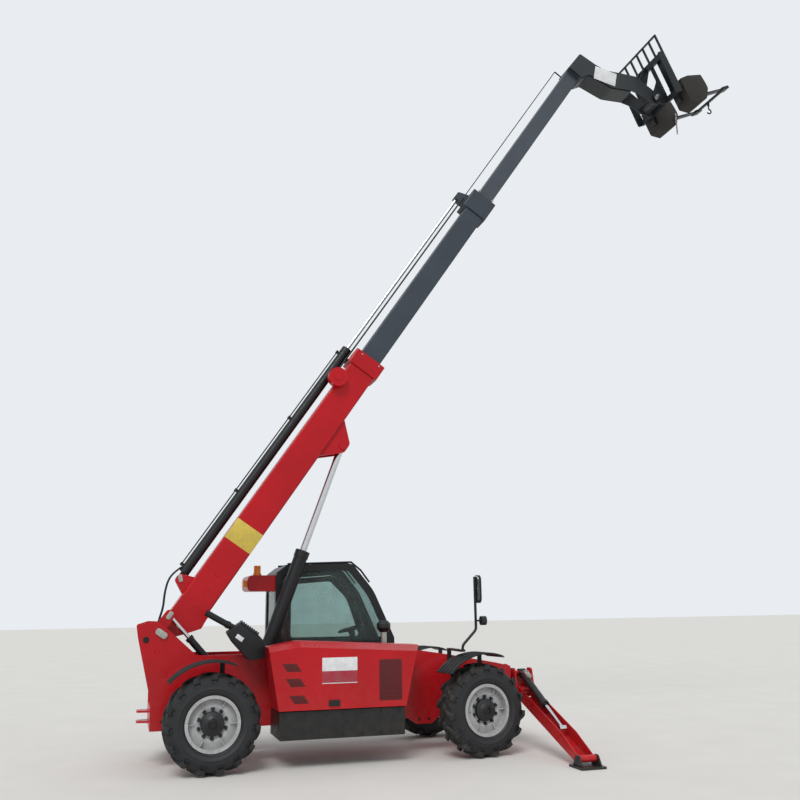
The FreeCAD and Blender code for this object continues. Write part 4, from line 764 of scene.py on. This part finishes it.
BOOM_PIN_SLANT = Vector((math.cos(math.radians(-35)), 0, math.sin(math.radians(-35))))
BOOM_WELDS = ((465.0, -176.0), (747.0, -175.0), (1022.0, -168.0))
FRAME_WELDS = ((-656.0, 1405.0, 30.0), (-569.0, 1130.0, 42.0))
FRAME_KNOB = (-797.0, 1549.0)
TRAY_BOLTS = (
    # x of the first and the last bolt of a row, its height, and how many there are
    (870.0, 2340.0, 640.0, 7), (870.0, 2340.0, 385.0, 7))
FRAME_BOLTS = ((-560.0, -300.0, 560.0, 3), (2820.0, 2960.0, 430.0, 2))
SCREWS = (
    # piece, body, place along the boom, half width there, heights of the screws
    ("collar_screws", "boom", 4800.0, 192.2, (-20.0, -330.0)),
    ("head_screws", "section_two", 8358.0, 161.2, (-20.0, -285.0)))
RAM_ALONG, RAM_ABOVE = Vector((0, 0.8858, -0.4640)), Vector((0, 0.4640, 0.8858))


def keeper(length, width, reach):
    """A pin's keeper plate with its two bolts, each at its reach from the middle."""
    return joined([(slab(length, width, 0.010, min(length, width) * 0.42, 0.0015), Matrix()),
                   (bolt(), shift(-reach, 0, 0.010)), (bolt(), shift(reach, 0, 0.010))])


def make_keepers():
    """Zinc keeper plates over the boom's, the compensation cylinder's and the telescope's pins."""
    make_piece("boom_pin_keepers", "chassis", ZINC, [
        (keeper(0.16, 0.082, 0.05), against(side, machine(-612, side * 462.5, 1622), BOOM_PIN_SLANT))
        for side in SIDES])
    make_piece("boom_foot_keepers", "boom", ZINC, [
        (keeper(0.11, 0.06, 0.03), against(RIGHT, boom(236, -366.5, 34), BOOM_ALONG))] + [
        (keeper(0.10, 0.055, 0.027), against(side, boom(704, side * 80.5, 196), (-0.25, 0, 1)))
        for side in SIDES])
    make_piece("tilt_pin_keepers", "section_three", ZINC, [
        (keeper(0.13, 0.075, 0.04), against(side, boom(12222, side * 248.5, -1627), BOOM_ALONG))
        for side in SIDES])


def make_weld_rings():
    """Raised weld rings on the boom's heel and the frame's tail, and the plugged hole beside them."""
    make_piece("boom_weld_rings", "boom", RED, [
        (ring(0.040, 0.0035), against(side, boom(u, side * 180, v), BOOM_ALONG))
        for u, v in BOOM_WELDS for side in SIDES])
    make_piece("frame_weld_rings", "chassis", RED, [
        (ring(radius * MM, 0.0035), against(side, machine(x, side * 450, z)))
        for x, z, radius in FRAME_WELDS for side in SIDES])
    plugs = []
    for side in SIDES:
        place = against(side, machine(FRAME_KNOB[0], side * FRAME_SIDE, FRAME_KNOB[1]))
        plugs.append((turned([(0.0, 0.004), (0.036, 0.004), (0.040, 0.0), (0.0, 0.0)], 28), place))
        plugs.append((hexagon_head(0.034, 0.026), place))
    make_piece("frame_plugs", "chassis", STEEL, plugs)


def bolt_rows(side, y, rows):
    """Rows of evenly spaced bolt heads against one side."""
    return [(bolt(), against(side, machine(first, side * y, z).lerp(machine(last, side * y, z),
                                                                   index / (count - 1))))
            for first, last, z, count in rows for index in range(count)]


def make_bolts():
    """Bolt heads on the tray, the frame's plates, the boom's collar and the head of section two."""
    make_piece("chassis_bolts", "chassis", STEEL, bolt_rows(RIGHT, TRAY_SIDE, TRAY_BOLTS)
               + bolt_rows(RIGHT, FRAME_SIDE, FRAME_BOLTS) + bolt_rows(LEFT, FRAME_SIDE, FRAME_BOLTS))
    for name, body, u, half_width, heights in SCREWS:
        make_piece(name, body, ZINC, [
            (bolt(), against(side, boom(u, side * half_width, v), BOOM_ALONG))
            for v in heights for side in SIDES])


def make_valve_blocks():
    """The zinc-plated valve block and its screws on each stabiliser's cylinder."""
    for side, name in ((RIGHT, "right"), (LEFT, "left")):
        flip = Vector((1, side, 1))
        foot = machine(4370, side * 425, 985)
        place = facing(foot + (RAM_ALONG * 0.17 + RAM_ABOVE * 0.047) * flip, RAM_ALONG * flip,
                       RAM_ABOVE * flip)
        make_piece("valve_block_" + name, "ram_barrel_" + name, ZINC, [
            (slab(0.13, 0.075, 0.045, 0.006, 0.003), place)] + [
            (hexagon_head(0.016, 0.011), place @ shift(a, b, 0.045))
            for a in (-0.045, 0.045) for b in (-0.022, 0.022)])


# Blank plates, lamps and mirror

HEAD_SLOPE = Vector((0.422, 0, -0.086))
SILENCER_SLOPE = (0.82, 0, -0.57)


def make_plates():
    """The bare plates where the signs are: on the hood, the boom, the head and the silencer."""
    make_piece("hood_plate", "hood", HOOD_SIGN, [
        (slab(0.452, 0.312, 0.003, 0.004, 0.0008), against(RIGHT, machine(1547, -HOOD_SIDE, 1150)))])
    make_piece("boom_plates", "boom", YELLOW_FILM, [
        (slab(0.31, 0.42, 0.002, 0.006, 0.0006),
         against(side, boom(1625, side * BOOM_SIDE, -160), BOOM_ALONG))
        for side in SIDES])
    make_piece("head_plate", "section_three", WHITE_FILM, [
        (slab(0.43, 0.26, 0.003, 0.006, 0.0008),
         against(RIGHT, machine(6600, -200.3, 11075), HEAD_SLOPE))])
    make_piece("silencer_plate", "chassis", WHITE_FILM, [
        (slab(0.10, 0.055, 0.002, 0.004, 0.0005),
         against(RIGHT, machine(330, -810.3, 1560), SILENCER_SLOPE))])


def make_lamp_trim():
    """Lens and rim of the work lamp, and the ribs of the beacon."""
    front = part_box("lamps")[1][0]
    make_piece("work_lamp_lens", "chassis", CLEAR, [
        (turned([(0.0, 0.006), (0.03, 0.005), (0.052, 0.002), (0.055, 0.0)], 40),
         facing((front + 0.0002, -1.080, 1.720), (0, 0, 1), LEVEL))])
    make_piece("beacon_ribs", "chassis", AMBER, [
        (ring(0.0482, 0.0018), Matrix.Translation(machine(700, 380, 2412.3 + 24 * index)))
        for index in range(4)])


def make_mirror():
    """The silvered glass on the rear face of the mirror."""
    make_piece("mirror_glass", "chassis", CHROME, [
        (slab(0.345, 0.165, 0.003, 0.062, 0.001),
         facing(machine(3489.6, -1005, 2135), (0, 0, 1), -LEVEL))])


# Load on the forks

BOX_OUTLINE = (
    # along the forks and up in the carriage's frame, in mm
    (300, -370), (475, -473), (670, -412), (792, -239), (792, -150), (771, 39), (481, 91), (300, 75))
BOX_PLACES = ((-620.0, -270.0), (290.0, 640.0))
BEAM_AT = 1.325


def across_carriage(y):
    """Lays a plate across the carriage: its X along the forks, its Y up and its Z to the right."""
    return against(RIGHT, carriage(0, y, 0), CARRIAGE_ALONG)


def make_fork_boxes():
    """The two eight-sided sheet boxes that the forks carry."""
    corners = [(x * MM, z * MM) for x, z in BOX_OUTLINE]
    make_piece("fork_boxes", "carriage", RUSTY, [
        (plate(corners, (high - low) * MM, 0.02, 0.008), across_carriage(high))
        for low, high in BOX_PLACES])


def make_hook():
    """A lifting beam slipped over both fork tips, with the swivel hook under it."""
    top = carriage(1325, 50, -290)
    parts = [(slab(0.15, 0.05, 0.152, 0.004), across_carriage(middle + 76) @ shift(BEAM_AT, -0.271, 0))
             for middle in (-400.0, 400.0)]
    parts += [(slab(0.07, 0.036, 0.66, 0.004), across_carriage(330) @ shift(BEAM_AT, -0.272, 0)),
              (rod(top, top + DOWN * 0.05, 0.022), Matrix()),
              (rod(top + DOWN * 0.05, top + DOWN * 0.12, 0.012), Matrix()),
              (bent_rod(0.045, 0.013, 235), Matrix.Translation(top + DOWN * 0.165) @ turn(-90, "Y"))]
    make_piece("lifting_beam", "carriage", STEEL, parts)


def chain_link(length, width, wire):
    """One link of round wire: two straight bars and two half-turn bends."""
    half, reach = (length - width) / 2, (width - wire) / 2
    parts = []
    for side in SIDES:
        bar = rod(Vector((-half, side * reach, 0)), Vector((half, side * reach, 0)), wire / 2, 10)
        parts += [(bar, Matrix()),
                  (bent_rod(reach, wire / 2, 180), facing((side * half, 0, 0), (0, 1, 0), (-side, 0, 0)))]
    return joined(parts)


def make_chain():
    """A short chain that hangs from the far box on the forks."""
    size = sizes()
    top = carriage(700, 262, -250)
    pitch = size.chain_link - 2.4 * size.chain_wire
    parts = [(chain_link(size.chain_link, size.chain_link * 0.62, size.chain_wire),
              facing(top + DOWN * pitch * (index + 0.5), DOWN, (0, 1, 0) if index % 2 else LEVEL))
             for index in range(int(size.chain_length / pitch))]
    shackle = slab(0.05, 0.03, 0.004, 0.01, 0.001)
    parts.append((shackle, facing(top + Vector((0, 0.001, 0.01)), (0, 0, 1), OUTWARD[RIGHT])))
    make_piece("load_chain", "carriage", ZINC, parts, 60.0)


# Roof guard, boom lines and silencer

ROOF_LINE = ((1120.0, 2528.0), (2055.0, 2556.0), (2200.0, 2440.0), (2330.0, 2268.0))
ROOF_BARS = 7
SILENCER_OUTLINE = (
    # x and z of its corners on the machine, in mm
    (249, 1508), (457, 1282), (655, 1301), (655, 1500), (560, 1598), (342, 1752), (169, 1632))
SILENCER_NEAR, SILENCER_FAR = -810.0, -590.0
SILENCER_FINS = 9


def make_roof_guard():
    """Two bent tubes over the roof light, with bars across them."""
    parts = [(bent_tube([machine(x, y, z) for x, z in ROOF_LINE], 0.014), Matrix())
             for y in (300.0, 1120.0)]
    start, end = machine(1120, 300, 2528), machine(2055, 300, 2556)
    for index in range(ROOF_BARS):
        place = start.lerp(end, (index + 0.5) / ROOF_BARS)
        parts.append((rod(place, place + Vector((0, 0.82, 0)), 0.010), Matrix()))
    make_piece("roof_guard", "chassis", STEEL, parts)


def make_boom_lines():
    """The thin steel lines on the telescope cylinder and over the inner sections."""
    make_piece("telescope_line", "boom", STEEL, [
        (rod(boom(850, 0, 296), boom(4690, 0, 296), 0.009), Matrix())] + [
        (slab(0.044, 0.06, 0.032, 0.006), against(RIGHT, boom(u, 16, 285), BOOM_ALONG))
        for u in (870.0, 2100.0, 3400.0, 4660.0)])
    make_piece("guide_rod", "section_two", STEEL, [
        (rod(boom(4300, -85, 128), boom(8110, -85, 128), 0.013), Matrix())])
    make_piece("head_cable", "section_three", STEEL, [
        (rod(boom(8080, 135, 118), boom(11530, 135, 118), 0.008), Matrix()),
        (rod(boom(11530, 135, 118), boom(11530, 135, -60), 0.012), Matrix())])


def make_silencer():
    """The exhaust box on the slant behind the hood: its fins, tail pipe, clamp and foot."""
    deep = (SILENCER_FAR - SILENCER_NEAR) * MM
    middle = (SILENCER_NEAR + SILENCER_FAR) / 2
    start, end = machine(350, SILENCER_FAR, 1748), machine(560, SILENCER_FAR, 1600)
    mouth, root = machine(-90, middle, 1875), machine(290, middle, 1666)
    pipe = facing(mouth, (0, 1, 0), root - mouth)
    parts = [(plate([(x * MM, z * MM) for x, z in SILENCER_OUTLINE], deep, 0.022, 0.006),
              against(RIGHT, machine(0, SILENCER_FAR, 0)))]
    parts += [(slab(0.012, 0.05, deep, 0.004),
               against(RIGHT, start.lerp(end, index / (SILENCER_FINS - 1)), end - start))
              for index in range(SILENCER_FINS)]
    parts += [(tube(0.040, 0.034, 0.0, (root - mouth).length), pipe),
              (tube(0.047, 0.041, 0.30, 0.34), pipe),
              (rod(machine(540, SILENCER_FAR - 10, 1312), machine(540, -452, 1312), 0.024), Matrix())]
    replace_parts(make_piece("silencer_box", "chassis", STEEL, parts), "silencer")


# Hood sheets

LOUVRES = (
    # x and z of the upper rear corner, then the run of the upper edge and the drop and lean of the ends
    (818.0, 1247.0, 178.0, 96.0, 65.0), (862.0, 1069.0, 183.0, 98.0, 68.0),
    (906.0, 868.0, 183.0, 96.0, 70.0))
GRILLE_SLATS = 16
LOUVRE_SLATS = 4


def on_hood(x=0.0, z=0.0, out=0.0):
    """Lays a plate on the hood's side at a place in metres: its X and Y are the machine's X and Z."""
    return against(RIGHT, machine(0, -HOOD_SIDE, 0)) @ shift(x, z, out)


def make_hood_sheets():
    """The punched grille and louvres on the hood's side, with their slats, and the black latch."""
    parts = [(slab(0.302, 0.498, 0.002, 0.02, 0.0005), on_hood(2.211, 1.017))]
    parts += [(slab(0.27, 0.010, 0.004, 0.0, 0.0015), on_hood(2.211, 0.792 + 0.03 * index, 0.0015))
              for index in range(GRILLE_SLATS)]
    for x, z, run, drop, lean in LOUVRES:
        corners = [(x, z), (x + lean, z - drop), (x + lean + run, z - drop), (x + run, z)]
        parts.append((plate([(a * MM, b * MM) for a, b in corners], 0.002, 0.006, 0.0005), on_hood()))
        for index in range(LOUVRE_SLATS):
            share = (index + 0.5) / LOUVRE_SLATS
            place = on_hood((x + run / 2 + lean * share) * MM, (z - drop * share) * MM, 0.0015)
            parts.append((slab(run * MM * 0.86, 0.007, 0.004, 0.0, 0.0015), place))
    make_piece("hood_sheets", "hood", PUNCHED, parts)
    make_piece("hood_latch", "hood", STEEL, [
        (slab(0.14, 0.073, 0.018, 0.01, 0.003), on_hood(1.479, 0.7635))])


# Hoses

HOSE_ROUTE = (
    # along the boom, share of the hose's distance from the middle, height over the boom's pivot
    (840, 1.0, 268), (760, 1.0, 300), (620, 1.0, 320), (440, 1.4, 250), (280, 1.6, 150), (120, 2.0, 100),
    (20, 2.4, 58))


def line_length(piece):
    """The length of a curve's own line, measured without its thickness."""
    depth = piece.data.bevel_depth
    piece.data.bevel_depth = 0.0
    bpy.context.view_layer.update()
    mesh = bpy.data.meshes.new_from_object(piece.evaluated_get(bpy.context.evaluated_depsgraph_get()))
    points = [vert.co.copy() for vert in mesh.vertices]
    bpy.data.meshes.remove(mesh)
    piece.data.bevel_depth = depth
    return sum((after - before).length for before, after in zip(points, points[1:]))


def hose(name, points, diameter, body):
    """A rubber hose held at both ends, along a smooth line through its control points."""
    material, slot = RUBBER
    data = bpy.data.curves.new(name, "CURVE")
    data.dimensions = "3D"
    spline = data.splines.new("NURBS")
    spline.points.add(len(points) - 1)
    for control, point in zip(spline.points, points):
        control.co = (*point, 1.0)
        control.radius = diameter / 2
    spline.order_u = 3
    spline.use_endpoint_u = True
    data.resolution_u = 10
    data.bevel_resolution = 3
    data.bevel_depth = 1.0
    data.use_fill_caps = True
    data.materials.append(bpy.data.materials[material])
    piece = placed(name, data)
    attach(piece, body)
    line_length(piece)


def make_hoses():
    """Two rubber hoses at the telescope cylinder's foot."""
    for name, y in (("boom_hose_right", -30.0), ("boom_hose_left", 30.0)):
        hose(name, [boom(u, y * share, v) for u, share, v in HOSE_ROUTE], sizes().hose_diameter, "boom")


# Stage

CAMERA_AT = (-1110.0, -12282.0, 1954.0)
CAMERA_TURN, CAMERA_PITCH, CAMERA_ROLL = -17.423, 13.161, -0.743
CAMERA_LENS = 39.2


def make_camera():
    """A camera where the photograph was taken from."""
    data = bpy.data.cameras.new("Camera")
    data.lens = CAMERA_LENS
    data.sensor_width = 36
    data.clip_start, data.clip_end = 0.1, 300
    camera = placed("Camera", data)
    camera.matrix_world = (Matrix.Translation(machine(*CAMERA_AT)) @ turn(CAMERA_TURN, "Z")
                           @ turn(90 + CAMERA_PITCH, "X") @ turn(CAMERA_ROLL, "Z"))
    bpy.context.scene.camera = camera


def make_floor():
    """A pale concrete floor, just under the wheels."""
    shape = bmesh.new()
    bmesh.ops.create_grid(shape, x_segments=1, y_segments=1, size=80)
    bmesh.ops.translate(shape, verts=shape.verts[:], vec=(0, 0, -0.002))
    mesh = bpy.data.meshes.new("Floor")
    shape.to_mesh(mesh)
    shape.free()
    floor = placed("Floor", mesh)
    material, tree, at = new_material("Pale concrete floor")
    concrete = mixed(tree, noise(tree, at, 900.0, 4.0), linear("#DAD8D3"), linear("#E6E4E0"))
    mesh.materials.append(surface(material, concrete, 0.85))


def make_world():
    """Soft even light; the camera, mirrors and glass see a pale background. Colours show as set."""
    world = bpy.data.worlds.new("World")
    world.use_nodes = True
    tree = world.node_tree
    tree.nodes.clear()
    path = add(tree, "ShaderNodeLightPath").outputs
    seen = maths(tree, "MAXIMUM", path["Is Camera Ray"], path["Is Glossy Ray"])
    seen = maths(tree, "MAXIMUM", seen, path["Is Transmission Ray"])
    lit = add(tree, "ShaderNodeBackground", linear("#F4F6F8"),
              bpy.context.scene.telehandler_stage.sky_strength)
    pale = add(tree, "ShaderNodeBackground", linear("#E9EDF1"), 1.0)
    both = add(tree, "ShaderNodeMixShader", seen, lit.outputs["Background"], pale.outputs["Background"])
    add(tree, "ShaderNodeOutputWorld", both.outputs["Shader"])
    bpy.context.scene.world = world
    bpy.context.scene.view_settings.view_transform = "Standard"


def make_sun():
    """A soft sun from above the right side."""
    data = bpy.data.lights.new("Sun", "SUN")
    data.energy = bpy.context.scene.telehandler_stage.sun_strength
    data.angle = math.radians(25)
    placed("Sun", data).rotation_euler = (math.radians(42), 0, math.radians(-28))


# Settings

def colour_property(name, description, hex_colour):
    return FloatVectorProperty(name=name, description=description, subtype="COLOR", size=3, min=0, max=1,
                               default=linear(hex_colour)[:3])


def length_property(name, description, default, low, high):
    return FloatProperty(name=name, description=description, default=default, unit="LENGTH", min=low,
                         max=high)


class TelehandlerColours(bpy.types.PropertyGroup):
    """Colours of the machine's finishes."""
    body_red: colour_property("Body red", "Enamel of the frame, boom and hood", "#B90A18")
    boom_slate: colour_property("Boom slate", "Enamel of the inner boom sections", "#3E454E")
    carriage_grey: colour_property("Carriage grey", "Enamel of the axles and the carriage", "#22272B")
    black: colour_property("Black", "Black steel and plastic", "#17181A")
    wheel: colour_property("Wheel", "Paint of the rims", "#B4B6B8")
    rubber: colour_property("Rubber", "Tread rubber", "#1A1B1D")
    glass: colour_property("Glass", "Tint of the cab's panes", "#BFD3D0")
    seat: colour_property("Seat", "Vinyl of the seat", "#7A1820")
    beacon: colour_property("Beacon", "Acrylic of the beacon", "#F08A1C")
    plate_yellow: colour_property("Yellow plate", "Film of the boom's blank plates", "#D9C04A")


class TelehandlerSizes(bpy.types.PropertyGroup):
    """Sizes of the pieces that are added to the solid model."""
    lug_count: IntProperty(name="Lug count", description="Tread bars on each side of a tyre", default=15,
                           min=8, max=40)
    lug_width: length_property("Lug width", "Width of a tread bar", 0.072, 0.02, 0.2)
    lug_sweep: FloatProperty(name="Lug sweep", description="Degrees that a tread bar runs round the tyre",
                             default=15.0, min=0.0, max=40.0)
    lug_easing: length_property("Lug easing", "Rounding of a tread bar's edges", 0.0045, 0.0005, 0.01)
    bolt_width: length_property("Bolt width", "Bolt heads across their flats", 0.026, 0.005, 0.08)
    hose_diameter: length_property("Hose diameter", "Outside of a rubber hose", 0.026, 0.008, 0.06)
    chain_length: length_property("Chain length", "Length of the hanging chain", 0.42, 0.1, 1.0)
    chain_link: length_property("Chain link", "Length of one link", 0.052, 0.02, 0.1)
    chain_wire: length_property("Chain wire", "Thickness of a link's wire", 0.010, 0.003, 0.02)


class TelehandlerStage(bpy.types.PropertyGroup):
    """Light on the object."""
    sky_strength: FloatProperty(name="Sky strength", description="Even light from all round",
                                default=0.62, min=0.0, max=3.0)
    sun_strength: FloatProperty(name="Sun strength", description="Soft light from above the right side",
                                default=1.5, min=0.0, max=10.0)


# Operators

class Maker:
    """Runs the functions that an operator lists."""
    steps = ()

    def execute(self, context):
        for make in self.steps:
            make()
        return {"FINISHED"}


class TELEHANDLER_OT_stage(Maker, bpy.types.Operator):
    """Makes the floor, the light and the camera"""
    bl_idname = "telehandler.stage"
    bl_label = "Stage"
    steps = (make_floor, make_world, make_sun, make_camera)


class TELEHANDLER_OT_finishes(Maker, bpy.types.Operator):
    """Gives every solid node its paint, rubber, glass or metal"""
    bl_idname = "telehandler.finishes"
    bl_label = "Finish the solid nodes"
    steps = (finish_nodes,)


class TELEHANDLER_OT_tyres(Maker, bpy.types.Operator):
    """Builds the four lugged tyres, their nuts and the mudguards' ribs"""
    bl_idname = "telehandler.tyres"
    bl_label = "Tyres"
    steps = (make_tyres, make_wheel_trim, make_guard_ribs)


class TELEHANDLER_OT_seat(Maker, bpy.types.Operator):
    """Builds the operator's seat"""
    bl_idname = "telehandler.seat"
    bl_label = "Seat"
    steps = (make_seat,)


class TELEHANDLER_OT_fasteners(Maker, bpy.types.Operator):
    """Adds keeper plates, weld rings, plugs, bolts and valve blocks"""
    bl_idname = "telehandler.fasteners"
    bl_label = "Keepers, bolts and welds"
    steps = (make_keepers, make_weld_rings, make_bolts, make_valve_blocks)


class TELEHANDLER_OT_plates(Maker, bpy.types.Operator):
    """Adds the bare plates on the hood, boom, head and silencer"""
    bl_idname = "telehandler.plates"
    bl_label = "Blank plates"
    steps = (make_plates,)


class TELEHANDLER_OT_body_trim(Maker, bpy.types.Operator):
    """Adds the hood's sheets, the roof guard, the silencer, the lamps' lenses and the mirror glass"""
    bl_idname = "telehandler.body_trim"
    bl_label = "Sheets, guard, lenses and mirror"
    steps = (make_hood_sheets, make_roof_guard, make_silencer, make_lamp_trim, make_mirror)


class TELEHANDLER_OT_rigging(Maker, bpy.types.Operator):
    """Adds the hoses, the boom's lines, the fork boxes, the lifting beam and the chain"""
    bl_idname = "telehandler.rigging"
    bl_label = "Hoses, lines and load"
    steps = (make_hoses, make_boom_lines, make_fork_boxes, make_hook, make_chain)


OPERATORS = (TELEHANDLER_OT_stage, TELEHANDLER_OT_finishes, TELEHANDLER_OT_tyres, TELEHANDLER_OT_seat,
             TELEHANDLER_OT_fasteners, TELEHANDLER_OT_plates, TELEHANDLER_OT_body_trim,
             TELEHANDLER_OT_rigging)


class TELEHANDLER_PT_panel(bpy.types.Panel):
    """Lists the steps that dress the machine"""
    bl_idname = "TELEHANDLER_PT_panel"
    bl_label = "Telehandler"
    bl_space_type = "VIEW_3D"
    bl_region_type = "UI"
    bl_category = "Telehandler"

    def draw(self, context):
        for operator in OPERATORS:
            self.layout.operator(operator.bl_idname)


SETTINGS = {"telehandler_colours": TelehandlerColours, "telehandler_sizes": TelehandlerSizes,
            "telehandler_stage": TelehandlerStage}
CLASSES = tuple(SETTINGS.values()) + OPERATORS + (TELEHANDLER_PT_panel,)


def register():
    for item in CLASSES:
        bpy.utils.register_class(item)
    for name, group in SETTINGS.items():
        setattr(bpy.types.Scene, name, PointerProperty(type=group))


def unregister():
    for name in SETTINGS:
        delattr(bpy.types.Scene, name)
    for item in reversed(CLASSES):
        bpy.utils.unregister_class(item)


def main():
    register()
    bpy.ops.telehandler.stage()
    bpy.ops.telehandler.finishes()
    bpy.ops.telehandler.tyres()
    bpy.ops.telehandler.seat()
    bpy.ops.telehandler.fasteners()
    bpy.ops.telehandler.plates()
    bpy.ops.telehandler.body_trim()
    bpy.ops.telehandler.rigging()
    bpy.context.view_layer.update()


if __name__ == "__main__":
    main()
